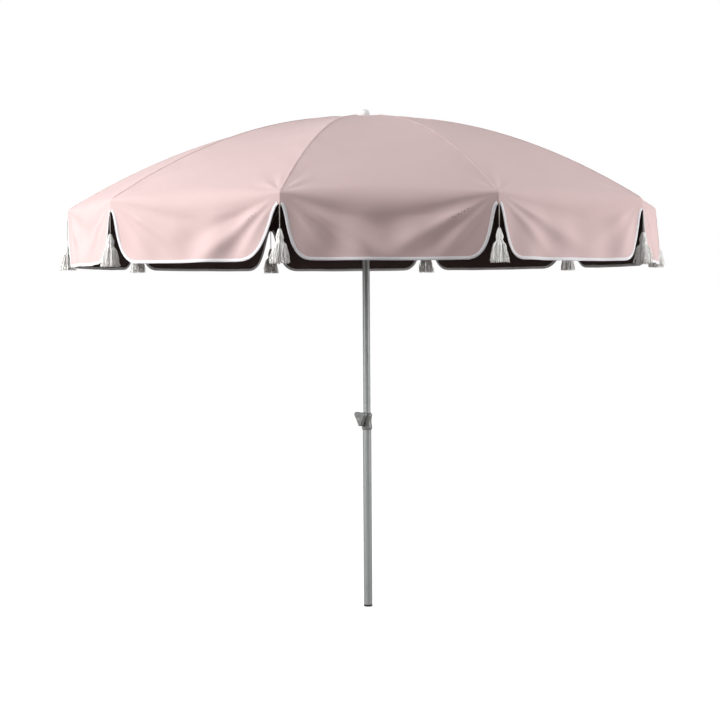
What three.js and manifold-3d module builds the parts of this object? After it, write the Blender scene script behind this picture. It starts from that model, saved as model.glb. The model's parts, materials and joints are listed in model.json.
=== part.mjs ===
// Garden parasol with ten ribs, a fabric canopy whose gores run on into hanging flaps, ten tassels
// on short cords, and a two-part pole with a screw clamp.  Millimetres, +Z up.  The origin is the
// middle of the pole's flat foot, and rib 1 lies over +X.
import * as THREE from 'three';
import { mergeVertices } from 'three/addons/utils/BufferGeometryUtils.js';
import Module from 'manifold-3d';

// ---------------------------------------------------------------- driving dimensions
const RIB_COUNT = 10;
const UPPER_POLE_RADIUS = 16;
const POLE_WALL = 1.2;
const POLE_CLEARANCE = 1.8; // upper tube to the lower tube's bore
const LOWER_POLE_RADIUS = UPPER_POLE_RADIUS + POLE_CLEARANCE + POLE_WALL;
const COLLAR_BOTTOM = 789; // above the foot
const LOWER_POLE_TOP = COLLAR_BOTTOM + 23;
const UPPER_POLE_BOTTOM = LOWER_POLE_TOP - 252;
const SLIDE_GAP = 0.4; // running clearance round a pole
const FIT_GAP = 0.3; // between two pieces that touch
const POLE_SIDES = 32;

const CANOPY_RADIUS = 1300; // pole axis to a rib tip
const CANOPY_RISE = 400; // crown above the rib tips
const CROWN_HEIGHT = 2164; // middle of the fabric at the crown, above the foot
const FABRIC_WALL = 1.6; // thickness of the stand-in canopy shell
const FABRIC_GAP = 1.7; // fabric to the ribs and hub under it
const FABRIC_STATIONS = 14; // steps from the crown to the rim
const GORE_PARTS = 4; // steps across a gore
const GORE_SAG = 12; // how far a gore hangs below its straight chord
const CROWN_HOLE_RADIUS = 7; // hole in the fabric for the finial's stem

const FLAP_DROP = 253; // rib tip down to the hem
const FLAP_FLARE = 20; // how far the hem stands out from the rim
const SLIT_START = 47; // rib tip down to the top of the slit between two flaps
const SLIT_MOUTH_DROP = 13; // depth of the slit's short top taper
const SLIT_MOUTH_HALF_WIDTH = 12;
const SLIT_END_HALF_WIDTH = 58; // where the rounded hem corner starts
const HEM_CORNER = 62; // height of the rounded hem corner
const HEM_CORNER_HALF_WIDTH = 125;

const RIB_WIDTH = 5;
const RIB_DEPTH = 8;
const RIB_TIP_GAP = 5; // rib end to the flap's middle surface
const RIB_STATIONS = 12; // steps along its curve
const NECK_STEP = 0.5; // the rib's neck is this much thinner each side
const NECK_OVERLAP = 2;
const RIB_EYE_RADIUS = 4.5;
const RIB_LUG_RADIUS = 4.5;
const RIB_LUG_DROP = 6; // stretcher pivot below the rib's middle line
const RIB_PIVOT_RADIUS = UPPER_POLE_RADIUS + 18; // to the ring wire that the ribs turn on
const RIB_JOINT_RADIUS = 490; // pole axis to the stretcher pivot on the open rib

const STRETCHER_PIVOT_RADIUS = UPPER_POLE_RADIUS + 20;
const RUNNER_DROP = 370; // rib pivot down to the runner's pivot, open
const STRETCHER_DEPTH = 10;
const STRETCHER_WALL = 1.5;
const STRETCHER_SIDE_GAP = 0.8; // fork cheek to rib, and cheek to runner slot
const FORK_LENGTH = 112; // open-ended fork that straddles the rib
const FOOT_FORK_LENGTH = 14; // short fork over the runner's ring wire
const RIVET_HOLE_RADIUS = 2.2;

const WIRE_RADIUS = 1.25;
const WIRE_GAP = 0.4;
const WIRE_SIDES = 5;
const WIRE_STEPS = 40;
const ROD_SIDES = 24;
const PIN_SIDES = 16;
const SCREW_SIDES = 12;
const CUT_MARGIN = 1; // a cut's run past the face it opens
const CUT_PAST = 20; // how far a cutting block runs past what it cuts
const EYE_HOLE_RADIUS = WIRE_RADIUS + 0.65;


const FOOT_FLANGE = 9;
const FOOT_SPIGOT = 26;
const FOOT_CHAMFER = 1;

const HUB_RADIUS = RIB_PIVOT_RADIUS + 11;
const HUB_CHAMFER = 2;
const HUB_DISC = 16;
const HUB_SLEEVE = 34;
const SLEEVE_WALL = 6; // hub and runner sleeves
const HUB_SOCKET_FLOOR = 13; // hub material above the pole end
const STEM_RADIUS = 5; // finial stem
const STEM_END_GAP = 1;
const FINIAL_RADIUS = 20;
const FINIAL_HEIGHT = 38;
const FINIAL_RINGS = 5;
const FINIAL_RING_SHARE = 0.6; // part of its height that is ringed
const FINIAL_LAND_SHARE = 0.7; // part of one ring that is full width
const FINIAL_GROOVE = 1;
const FINIAL_DOME_STEPS = 4;
const FINIAL_DOME_STEP_IN = 1.5;

const RUNNER_RADIUS = STRETCHER_PIVOT_RADIUS + 11;
const RUNNER_DISC = 14;
const RUNNER_SLEEVE = 70;
const RUNNER_GRIP_RADIUS = UPPER_POLE_RADIUS + 12;
const RUNNER_GRIP = 8;
const RUNNER_GRIP_TAPER = 5;
const STOP_PIN_RADIUS = 2.5;
const STOP_PIN_LENGTH = 2 * UPPER_POLE_RADIUS + 12;
const STOP_PIN_GAP = 6; // runner top to the stop pin, open

const BUSH_LENGTH = 35;
const BUSH_LIP = 9;
const BUSH_LIP_RADIUS = UPPER_POLE_RADIUS - 4;

const COLLAR_HEIGHT = 75;
const COLLAR_FLANGE_RADIUS = LOWER_POLE_RADIUS + 4;
const COLLAR_WAIST_RADIUS = LOWER_POLE_RADIUS + 0.8;
// The collar's outline: heights above its bottom, and below its top.
const COLLAR_CHAMFER = 6;
const COLLAR_FLANGE_TOP = 12;
const COLLAR_NECK_LOW = 27;
const COLLAR_NECK_MIDDLE = 38;
const COLLAR_NECK_HIGH = 50;
const COLLAR_NECK_SWELL = 1;
const COLLAR_TOP_FLANGE = 14;
const COLLAR_TOP_CHAMFER = 8;
const COLLAR_LOW_LIP = 1.2;
const COLLAR_TOP_LIP = 1.5;
const CLAMP_HEIGHT = COLLAR_BOTTOM + 55; // clamp screw axis above the foot
const CLAMP_AZIMUTH = 218; // degrees from +X to the clamp screw
const BOSS_RADIUS = 11;
const BOSS_REACH = LOWER_POLE_RADIUS + 9; // pole axis to the boss face
const SCREW_RADIUS = 4;
const INSERT_RADIUS = 7;
const INSERT_LENGTH = 6;
const PAD_RADIUS = 5;
const PAD_THICKNESS = 2;
const KNOB_THICKNESS = 16;
const KNOB_LOBE_REACH = 27; // screw axis to a lobe's centre
const KNOB_LOBE_RADIUS = 11;
const KNOB_STAND_OFF = 3; // boss face to knob
const KNOB_BEVEL = 2.5;
const KNOB_DIMPLE_RADIUS = 5;
const KNOB_DIMPLE_RISE = 2; // dimple's centre beyond the knob's face

const CORD_RADIUS = 2;
const CORD_LENGTH = 80;
const CORD_START = 55; // rib tip down to the cord's top
const CORD_STEPS = 8;
const TASSEL_HEAD = 48;
const TASSEL_SKIRT = 82;
const TASSEL_NECK_RADIUS = 9;
const TASSEL_HEAD_RADIUS = 15;
const TASSEL_SKIRT_RADIUS = 33;
const TASSEL_WAIST_RADIUS = 25;
const TASSEL_SHOULDER = 5;
const TASSEL_HEAD_TOP_SHARE = 0.8;
const TASSEL_SIDES = 10;

// ---------------------------------------------------------------- worked-out places
const STEP_ANGLE = (2 * Math.PI) / RIB_COUNT;
const HALF_STEP = STEP_ANGLE / 2;
const RIM_HEIGHT = CROWN_HEIGHT - CANOPY_RISE;
const RIB_BELOW_FABRIC = FABRIC_WALL / 2 + FABRIC_GAP;
const STRETCHER_WIDTH = RIB_WIDTH + 2 * STRETCHER_SIDE_GAP + 2 * STRETCHER_WALL;
const HUB_TOP = CROWN_HEIGHT - FABRIC_WALL / 2 - FABRIC_GAP;

// ---------------------------------------------------------------- materials
const finish = (color, roughness, metalness) =>
  new THREE.MeshStandardMaterial({ color, roughness, metalness });
const poleMetal = () => finish(0x8a8d8b, 0.45, 0.6);
const steel = () => finish(0xb9bcbe, 0.35, 0.9);
const greyPlastic = () => finish(0x7c7d7a, 0.55, 0);
const whitePlastic = () => finish(0xf2f2f0, 0.5, 0);
const fabric = () => finish(0xcdb6b3, 0.85, 0);
const cotton = () => finish(0xf4f2ee, 0.9, 0);

const parasol = new THREE.Group();
const wasm = await Module();
wasm.setup();

// ---------------------------------------------------------------- solid modelling helpers
function signedVolume(points, triangles) {
  const a = new THREE.Vector3();
  const b = new THREE.Vector3();
  const c = new THREE.Vector3();
  let sum = 0;
  for (let i = 0; i < triangles.length; i += 3) {
    a.fromArray(points, 3 * triangles[i]);
    b.fromArray(points, 3 * triangles[i + 1]);
    c.fromArray(points, 3 * triangles[i + 2]);
    sum += a.dot(b.cross(c));
  }
  return sum / 6;
}

// One closed body: shared corners merged, collapsed triangles dropped, faces pointing out.
function closed(geometry) {
  const bare = geometry.clone();
  bare.deleteAttribute('normal');
  bare.deleteAttribute('uv');
  const merged = mergeVertices(bare, 1e-3);
  const points = merged.attributes.position.array;
  const kept = [];
  for (let i = 0; i < merged.index.count; i += 3) {
    const [a, b, c] = [0, 1, 2].map((n) => merged.index.getX(i + n));
    if (a !== b && b !== c && c !== a) kept.push(a, b, c);
  }
  if (signedVolume(points, kept) < 0) kept.reverse();
  merged.setIndex(kept);
  merged.computeVertexNormals();
  return merged;
}

function toSolid(geometry) {
  const shape = closed(geometry);
  return new wasm.Manifold(
    new wasm.Mesh({
      numProp: 3,
      vertProperties: Float32Array.from(shape.attributes.position.array),
      triVerts: Uint32Array.from(shape.index.array),
    }),
  );
}

function toGeometry(solid) {
  const mesh = solid.getMesh();
  const geometry = new THREE.BufferGeometry();
  geometry.setAttribute('position', new THREE.BufferAttribute(mesh.vertProperties, 3));
  geometry.setIndex(new THREE.BufferAttribute(mesh.triVerts, 1));
  geometry.computeVertexNormals();
  return geometry;
}

const cut = (geometry, tools) =>
  toGeometry(tools.reduce((solid, tool) => solid.subtract(toSolid(tool)), toSolid(geometry)));
const join = (geometry, others) =>
  toGeometry(others.reduce((solid, other) => solid.add(toSolid(other)), toSolid(geometry)));

// A profile of [radius, height] points turned about the Z axis.
function turned(profile, sides) {
  const points = profile.map(([r, z]) => new THREE.Vector2(r, z));
  return closed(new THREE.LatheGeometry(points, sides).rotateX(Math.PI / 2));
}

const tube = (outer, inner, low, high, sides = POLE_SIDES) =>
  turned([[inner, low], [outer, low], [outer, high], [inner, high], [inner, low]], sides);
const rod = (radius, low, high, sides = POLE_SIDES) =>
  turned([[0, low], [radius, low], [radius, high], [0, high]], sides);

// A plate drawn in the upright plane over +X, and as thick as `width` across that plane.
function uprightPlate(shape, width, curveSegments = 4) {
  const plate = new THREE.ExtrudeGeometry(shape, {
    depth: width,
    bevelEnabled: false,
    curveSegments,
  });
  return closed(plate.rotateX(Math.PI / 2).translate(0, width / 2, 0));
}

function box(width, depth, height, x, y, z) {
  return new THREE.BoxGeometry(width, depth, height).translate(x, y, z);
}

function place(name, geometry, material, parent = parasol) {
  const mesh = new THREE.Mesh(closed(geometry), material);
  mesh.name = name;
  parent.add(mesh);
}

const numbered = (name, k) => `${name}_${String(k + 1).padStart(2, '0')}`;

function spoke(k) {
  const group = new THREE.Group();
  group.rotation.z = k * STEP_ANGLE;
  parasol.add(group);
  return group;
}

// ---------------------------------------------------------------- canopy and rib line
// The fabric over a rib falls as a parabola from the crown to the rib tip.
const fabricHeight = (r) => CROWN_HEIGHT - CANOPY_RISE * (r / CANOPY_RADIUS) ** 2;
const fabricSlope = (r) => Math.atan((2 * CANOPY_RISE * r) / CANOPY_RADIUS ** 2);

// The point `depth` below the fabric's middle over a rib, at right angles to it.
function underFabric(r, depth) {
  const slope = fabricSlope(r);
  return [r - depth * Math.sin(slope), fabricHeight(r) - depth * Math.cos(slope)];
}

const ribMiddle = (r) => underFabric(r, RIB_BELOW_FABRIC + RIB_DEPTH / 2);
const [, RIB_PIVOT_HEIGHT] = ribMiddle(RIB_PIVOT_RADIUS);
const RIB_JOINT = underFabric(RIB_JOINT_RADIUS, RIB_BELOW_FABRIC + RIB_DEPTH / 2 + RIB_LUG_DROP);
const RUNNER_PIVOT_HEIGHT = RIB_PIVOT_HEIGHT - RUNNER_DROP;

// ---------------------------------------------------------------- pole
function makePoles() {
  const inner = LOWER_POLE_RADIUS - POLE_WALL;
  const lower = tube(LOWER_POLE_RADIUS, inner, FOOT_FLANGE + FIT_GAP, LOWER_POLE_TOP);
  place('lower_pole', lower, poleMetal());

  const spigot = inner - FIT_GAP;
  const plug = turned(
    [
      [0, 0],
      [LOWER_POLE_RADIUS - FOOT_CHAMFER, 0],
      [LOWER_POLE_RADIUS, FOOT_CHAMFER],
      [LOWER_POLE_RADIUS, FOOT_FLANGE],
      [spigot, FOOT_FLANGE],
      [spigot, FOOT_FLANGE + FOOT_SPIGOT],
      [0, FOOT_FLANGE + FOOT_SPIGOT],
    ],
    POLE_SIDES,
  );
  place('foot_plug', plug, greyPlastic());

  const top = HUB_TOP - HUB_SOCKET_FLOOR - FIT_GAP;
  const upper = tube(UPPER_POLE_RADIUS, UPPER_POLE_RADIUS - POLE_WALL, UPPER_POLE_BOTTOM, top);
  const hole = rod(STOP_PIN_RADIUS + FIT_GAP, -STOP_PIN_LENGTH, STOP_PIN_LENGTH, SCREW_SIDES);
  hole.rotateX(Math.PI / 2).translate(0, 0, stopPinHeight());
  place('upper_pole', cut(upper, [hole]), poleMetal());

  const bore = UPPER_POLE_RADIUS + FIT_GAP;
  const low = UPPER_POLE_BOTTOM - FIT_GAP - BUSH_LIP;
  const outside = inner - SLIDE_GAP;
  const bush = turned(
    [
      [BUSH_LIP_RADIUS, low],
      [outside, low],
      [outside, low + BUSH_LENGTH],
      [bore, low + BUSH_LENGTH],
      [bore, low + BUSH_LIP],
      [BUSH_LIP_RADIUS, low + BUSH_LIP],
      [BUSH_LIP_RADIUS, low],
    ],
    POLE_SIDES,
  );
  place('guide_bush', bush, greyPlastic());
}

const stopPinHeight = () => RUNNER_PIVOT_HEIGHT + RUNNER_DISC / 2 + STOP_PIN_GAP + STOP_PIN_RADIUS;

// ---------------------------------------------------------------- clamp
// A shape made along +X and turned to the clamp screw's direction at its height.
const towardClamp = (geometry) =>
  geometry.rotateZ(THREE.MathUtils.degToRad(CLAMP_AZIMUTH)).translate(0, 0, CLAMP_HEIGHT);
const rodAlongClamp = (radius, near, far, sides) =>
  towardClamp(rod(radius, near, far, sides).rotateY(Math.PI / 2));

function knobOutline() {
  const outline = new THREE.Shape();
  const lobes = 3;
  const arc = (2 * Math.PI) / lobes;
  for (let i = 0; i < lobes; i += 1) {
    const out = Math.PI + i * arc;
    const x = KNOB_LOBE_REACH * Math.cos(out);
    const y = KNOB_LOBE_REACH * Math.sin(out);
    outline.absarc(x, y, KNOB_LOBE_RADIUS - KNOB_BEVEL, out - arc / 2, out + arc / 2, false);
  }
  return outline;
}

function makeClamp() {
  const bore = UPPER_POLE_RADIUS + SLIDE_GAP;
  const socket = LOWER_POLE_RADIUS + FIT_GAP;
  const top = COLLAR_BOTTOM + COLLAR_HEIGHT;
  const seat = LOWER_POLE_TOP + FIT_GAP;
  const sleeve = turned(
    [
      [socket, COLLAR_BOTTOM],
      [socket + COLLAR_LOW_LIP, COLLAR_BOTTOM],
      [COLLAR_FLANGE_RADIUS, COLLAR_BOTTOM + COLLAR_CHAMFER],
      [COLLAR_FLANGE_RADIUS, COLLAR_BOTTOM + COLLAR_FLANGE_TOP],
      [COLLAR_WAIST_RADIUS + COLLAR_NECK_SWELL, COLLAR_BOTTOM + COLLAR_NECK_LOW],
      [COLLAR_WAIST_RADIUS, COLLAR_BOTTOM + COLLAR_NECK_MIDDLE],
      [COLLAR_WAIST_RADIUS + COLLAR_NECK_SWELL, COLLAR_BOTTOM + COLLAR_NECK_HIGH],
      [COLLAR_FLANGE_RADIUS, top - COLLAR_TOP_FLANGE],
      [COLLAR_FLANGE_RADIUS, top - COLLAR_TOP_CHAMFER],
      [bore + COLLAR_TOP_LIP, top],
      [bore, top],
      [bore, seat],
      [socket, seat],
      [socket, COLLAR_BOTTOM],
    ],
    POLE_SIDES,
  );
  const boss = rodAlongClamp(BOSS_RADIUS, bore + CUT_MARGIN, BOSS_REACH, ROD_SIDES);
  const insertStart = BOSS_REACH - INSERT_LENGTH;
  const collar = cut(join(sleeve, [boss]), [
    rodAlongClamp(PAD_RADIUS + SLIDE_GAP, 0, BOSS_REACH + CUT_MARGIN, PIN_SIDES),
    rodAlongClamp(INSERT_RADIUS + FIT_GAP, insertStart - FIT_GAP, BOSS_REACH + CUT_MARGIN, PIN_SIDES),
    rod(bore, seat, top + CUT_MARGIN),
  ]);
  place('clamp_collar', collar, greyPlastic());

  const insert = tube(INSERT_RADIUS, SCREW_RADIUS + SLIDE_GAP, insertStart, BOSS_REACH, PIN_SIDES);
  place('clamp_insert', towardClamp(insert.rotateY(Math.PI / 2)), steel());

  const padStart = UPPER_POLE_RADIUS + FIT_GAP;
  const padEnd = padStart + PAD_THICKNESS;
  place('clamp_pad', rodAlongClamp(PAD_RADIUS, padStart, padEnd, PIN_SIDES), whitePlastic());

  const knobStart = BOSS_REACH + KNOB_STAND_OFF;
  const screwEnd = knobStart + KNOB_THICKNESS / 2;
  place('clamp_screw', rodAlongClamp(SCREW_RADIUS, padEnd + FIT_GAP, screwEnd, SCREW_SIDES), steel());

  const flat = new THREE.ExtrudeGeometry(knobOutline(), {
    depth: KNOB_THICKNESS - 2 * KNOB_BEVEL,
    bevelThickness: KNOB_BEVEL,
    bevelSize: KNOB_BEVEL,
    bevelSegments: 2,
    curveSegments: 8,
  });
  const knob = flat.translate(0, 0, knobStart + KNOB_BEVEL).rotateY(Math.PI / 2);
  knob.rotateX(Math.PI);
  const pocket = rod(SCREW_RADIUS + FIT_GAP, knobStart - CUT_MARGIN, screwEnd + FIT_GAP, SCREW_SIDES);
  const dimple = new THREE.SphereGeometry(KNOB_DIMPLE_RADIUS, SCREW_SIDES, 8);
  dimple.translate(0, 0, knobStart + KNOB_THICKNESS + KNOB_DIMPLE_RISE);
  const drilled = cut(knob, [pocket.rotateY(Math.PI / 2), dimple.rotateY(Math.PI / 2)]);
  place('clamp_knob', towardClamp(drilled), greyPlastic());
}

// ---------------------------------------------------------------- hub, runner and their ring wires
const wireRing = (ringRadius, wire) =>
  new THREE.TorusGeometry(ringRadius, wire, WIRE_SIDES, WIRE_STEPS);

// A disc with one radial slot for each spoke and a hidden groove for the wire they turn on.
function slottedDisc(disc, pivotRadius, pivotHeight, slotWidth, eyeRadius, reach) {
  const slots = [];
  const start = pivotRadius - eyeRadius - CUT_MARGIN;
  const length = reach - start + CUT_PAST;
  for (let k = 0; k < RIB_COUNT; k += 1) {
    const slot = box(length, slotWidth, 3 * CUT_PAST, start + length / 2, 0, 0);
    slots.push(slot.rotateZ(k * STEP_ANGLE).translate(0, 0, pivotHeight));
  }
  const groove = wireRing(pivotRadius, WIRE_RADIUS + WIRE_GAP).translate(0, 0, pivotHeight);
  return cut(disc, [...slots, groove]);
}

function makeHub() {
  const bore = UPPER_POLE_RADIUS + FIT_GAP;
  const sleeve = bore + SLEEVE_WALL;
  const discBottom = HUB_TOP - HUB_DISC;
  const socketTop = HUB_TOP - HUB_SOCKET_FLOOR;
  const stemHole = STEM_RADIUS + FIT_GAP;
  const body = turned(
    [
      [bore, discBottom - HUB_SLEEVE],
      [sleeve, discBottom - HUB_SLEEVE],
      [sleeve, discBottom],
      [HUB_RADIUS, discBottom],
      [HUB_RADIUS, HUB_TOP - HUB_CHAMFER],
      [HUB_RADIUS - HUB_CHAMFER, HUB_TOP],
      [stemHole, HUB_TOP],
      [stemHole, socketTop],
      [bore, socketTop],
      [bore, discBottom - HUB_SLEEVE],
    ],
    POLE_SIDES,
  );
  const slotWidth = RIB_WIDTH + 2 * STRETCHER_SIDE_GAP;
  const hub = slottedDisc(
    body,
    RIB_PIVOT_RADIUS,
    RIB_PIVOT_HEIGHT,
    slotWidth,
    RIB_EYE_RADIUS,
    HUB_RADIUS,
  );
  place('hub', hub, greyPlastic());
  const wire = wireRing(RIB_PIVOT_RADIUS, WIRE_RADIUS).translate(0, 0, RIB_PIVOT_HEIGHT);
  place('hub_ring_wire', wire, steel());
}

function makeFinial() {
  const base = CROWN_HEIGHT + FABRIC_WALL / 2 + FIT_GAP;
  const profile = [
    [0, HUB_TOP - HUB_SOCKET_FLOOR + STEM_END_GAP],
    [STEM_RADIUS, HUB_TOP - HUB_SOCKET_FLOOR + STEM_END_GAP],
    [STEM_RADIUS, base],
    [FINIAL_RADIUS, base],
  ];
  const ringHeight = (FINIAL_HEIGHT * FINIAL_RING_SHARE) / FINIAL_RINGS;
  for (let i = 0; i < FINIAL_RINGS; i += 1) {
    const z = base + i * ringHeight;
    const landTop = z + ringHeight * FINIAL_LAND_SHARE;
    profile.push([FINIAL_RADIUS, landTop], [FINIAL_RADIUS - FINIAL_GROOVE, z + ringHeight]);
  }
  const domeBase = base + FINIAL_RINGS * ringHeight;
  const domeHeight = FINIAL_HEIGHT - FINIAL_RINGS * ringHeight;
  for (let i = 0; i <= FINIAL_DOME_STEPS; i += 1) {
    const turn = (i / FINIAL_DOME_STEPS) * (Math.PI / 2);
    const r = (FINIAL_RADIUS - FINIAL_DOME_STEP_IN) * Math.cos(turn);
    profile.push([i === FINIAL_DOME_STEPS ? 0 : r, domeBase + domeHeight * Math.sin(turn)]);
  }
  place('finial', turned(profile, ROD_SIDES), whitePlastic());
}

function makeRunner() {
  const bore = UPPER_POLE_RADIUS + SLIDE_GAP;
  const sleeve = bore + SLEEVE_WALL;
  const discTop = RUNNER_PIVOT_HEIGHT + RUNNER_DISC / 2;
  const discBottom = RUNNER_PIVOT_HEIGHT - RUNNER_DISC / 2;
  const foot = discBottom - RUNNER_SLEEVE;
  const body = turned(
    [
      [bore, foot],
      [RUNNER_GRIP_RADIUS, foot],
      [RUNNER_GRIP_RADIUS, foot + RUNNER_GRIP],
      [sleeve, foot + RUNNER_GRIP + RUNNER_GRIP_TAPER],
      [sleeve, discBottom],
      [RUNNER_RADIUS, discBottom],
      [RUNNER_RADIUS, discTop],
      [bore, discTop],
      [bore, foot],
    ],
    POLE_SIDES,
  );
  const runner = slottedDisc(
    body,
    STRETCHER_PIVOT_RADIUS,
    RUNNER_PIVOT_HEIGHT,
    STRETCHER_WIDTH + 2 * STRETCHER_SIDE_GAP,
    STRETCHER_DEPTH / 2,
    RUNNER_RADIUS,
  );
  place('runner', runner, greyPlastic());
  const wire = wireRing(STRETCHER_PIVOT_RADIUS, WIRE_RADIUS).translate(0, 0, RUNNER_PIVOT_HEIGHT);
  place('runner_ring_wire', wire, steel());

  const half = STOP_PIN_LENGTH / 2;
  const pin = rod(STOP_PIN_RADIUS, -half, half, SCREW_SIDES).rotateX(Math.PI / 2);
  place('runner_stop_pin', pin.translate(0, 0, stopPinHeight()), steel());
}

// ---------------------------------------------------------------- ribs and stretchers
function roundHole(x, y, radius) {
  const hole = new THREE.Path();
  hole.absarc(x, y, radius, 0, 2 * Math.PI, true);
  return hole;
}

// One curved bar with a round eye at the hub, a lug for the stretcher and a rounded tip.
function ribGeometry() {
  const topDepth = RIB_BELOW_FABRIC;
  const bottomDepth = RIB_BELOW_FABRIC + RIB_DEPTH;
  const start = RIB_PIVOT_RADIUS + RIB_EYE_RADIUS;
  const end = CANOPY_RADIUS - RIB_TIP_GAP;
  const bar = [];
  for (let i = 0; i <= RIB_STATIONS; i += 1) {
    bar.push(underFabric(start + ((end - start) * i) / RIB_STATIONS, topDepth));
  }
  for (let i = RIB_STATIONS; i >= 0; i -= 1) {
    bar.push(underFabric(start + ((end - start) * i) / RIB_STATIONS, bottomDepth));
  }
  const outline = new THREE.Shape(bar.map(([r, z]) => new THREE.Vector2(r, z)));
  const eye = new THREE.Shape();
  eye.absarc(RIB_PIVOT_RADIUS, RIB_PIVOT_HEIGHT, RIB_EYE_RADIUS, 0, 2 * Math.PI, false);
  const neckLow = underFabric(RIB_PIVOT_RADIUS, bottomDepth - NECK_STEP);
  const neckHigh = underFabric(RIB_PIVOT_RADIUS, topDepth + NECK_STEP);
  const neckOut = underFabric(start + NECK_OVERLAP, topDepth + NECK_STEP);
  const neckIn = underFabric(start + NECK_OVERLAP, bottomDepth - NECK_STEP);
  const neck = new THREE.Shape(
    [neckLow, neckIn, neckOut, neckHigh].map(([r, z]) => new THREE.Vector2(r, z)),
  );
  const lug = new THREE.Shape();
  lug.absarc(RIB_JOINT[0], RIB_JOINT[1], RIB_LUG_RADIUS, 0, 2 * Math.PI, false);
  const wireHole = new THREE.Shape();
  wireHole.absarc(RIB_PIVOT_RADIUS, RIB_PIVOT_HEIGHT, EYE_HOLE_RADIUS, 0, 2 * Math.PI, false);
  const rivetHole = new THREE.Shape();
  rivetHole.absarc(RIB_JOINT[0], RIB_JOINT[1], RIVET_HOLE_RADIUS, 0, 2 * Math.PI, false);
  const plate = (shape) => uprightPlate(shape, RIB_WIDTH);
  const drill = (shape) => uprightPlate(shape, 2 * RIB_WIDTH);
  const solid = join(plate(outline), [plate(eye), plate(neck), plate(lug)]);
  return cut(solid, [drill(wireHole), drill(rivetHole)]);
}

// An upward-open channel, made level from its runner pivot and then tilted up to the rib.
function stretcherGeometry() {
  const run = RIB_JOINT[0] - STRETCHER_PIVOT_RADIUS;
  const climb = RIB_JOINT[1] - RUNNER_PIVOT_HEIGHT;
  const length = Math.hypot(run, climb);
  const half = STRETCHER_DEPTH / 2;
  const side = new THREE.Shape();
  side.absarc(0, 0, half, Math.PI / 2, (3 * Math.PI) / 2, false);
  side.absarc(length, 0, half, -Math.PI / 2, Math.PI / 2, false);
  side.holes.push(roundHole(0, 0, EYE_HOLE_RADIUS), roundHole(length, 0, RIVET_HOLE_RADIUS));
  const channel = STRETCHER_WIDTH - 2 * STRETCHER_WALL;
  const webTop = -half + STRETCHER_WALL;
  const past = CUT_PAST / 2;
  const tall = 2 * CUT_PAST;
  const trough = box(length + 2 * CUT_PAST, channel, tall, length / 2, 0, webTop + CUT_PAST);
  const fork = box(FORK_LENGTH + CUT_PAST, channel, tall, length - FORK_LENGTH / 2 + past, 0, 0);
  const footLength = FOOT_FORK_LENGTH + CUT_PAST;
  const footFork = box(footLength, channel, tall, FOOT_FORK_LENGTH / 2 - past, 0, 0);
  const level = cut(uprightPlate(side, STRETCHER_WIDTH), [trough, fork, footFork]);
  level.rotateY(-Math.atan2(climb, run));
  return level.translate(STRETCHER_PIVOT_RADIUS, 0, RUNNER_PIVOT_HEIGHT);
}

// ---------------------------------------------------------------- canopy
// A closed shell round an open surface: both faces lie half the wall from it, along its normals.
function thickened(points, triangles, wall) {
  const surface = new THREE.BufferGeometry();
  surface.setAttribute('position', new THREE.Float32BufferAttribute(points, 3));
  surface.setIndex(triangles);
  surface.computeVertexNormals();
  const normals = surface.attributes.normal.array;
  const count = points.length / 3;
  const outer = points.map((value, i) => value + (normals[i] * wall) / 2);
  const inner = points.map((value, i) => value - (normals[i] * wall) / 2);
  const faces = [...triangles];
  const edges = new Map();
  for (let i = 0; i < triangles.length; i += 3) {
    const corners = triangles.slice(i, i + 3);
    faces.push(corners[2] + count, corners[1] + count, corners[0] + count);
    corners.forEach((from, n) => {
      const to = corners[(n + 1) % 3];
      edges.set(`${from} ${to}`, [from, to]);
    });
  }
  for (const [from, to] of edges.values()) {
    if (!edges.has(`${to} ${from}`)) {
      faces.push(to, from, from + count, to, from + count, to + count);
    }
  }
  const shell = new THREE.BufferGeometry();
  shell.setAttribute('position', new THREE.Float32BufferAttribute([...outer, ...inner], 3));
  shell.setIndex(faces);
  return shell;
}

// A point of gore k: `share` runs from -1 to 1 across it, on the straight chord between two ribs.
function acrossGore(k, share, radius, inset = 0) {
  const halfChord = radius * Math.sin(HALF_STEP);
  const across = Math.max(halfChord - inset, 0) * share;
  const out = radius * Math.cos(HALF_STEP);
  const turn = (k + 0.5) * STEP_ANGLE;
  const x = out * Math.cos(turn) - across * Math.sin(turn);
  const y = out * Math.sin(turn) + across * Math.cos(turn);
  return [x, y];
}

function goreRows() {
  const rows = [];
  for (let i = 0; i <= FABRIC_STATIONS; i += 1) {
    const radius = i === 0 ? CROWN_HOLE_RADIUS : (CANOPY_RADIUS * i) / FABRIC_STATIONS;
    const sag = GORE_SAG * Math.sin((Math.PI * radius) / CANOPY_RADIUS) ** 2;
    rows.push({ radius, height: fabricHeight(radius), sag, inset: 0, open: false });
  }
  const flap = [
    [SLIT_START, 0, false],
    [SLIT_START + SLIT_MOUTH_DROP, SLIT_MOUTH_HALF_WIDTH, true],
    [FLAP_DROP - HEM_CORNER, SLIT_END_HALF_WIDTH, true],
    [FLAP_DROP, HEM_CORNER_HALF_WIDTH, true],
  ];
  for (const [drop, inset, open] of flap) {
    const radius = CANOPY_RADIUS + (FLAP_FLARE * drop) / FLAP_DROP;
    rows.push({ radius, height: RIM_HEIGHT - drop, sag: 0, inset, open });
  }
  return rows;
}

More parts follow.
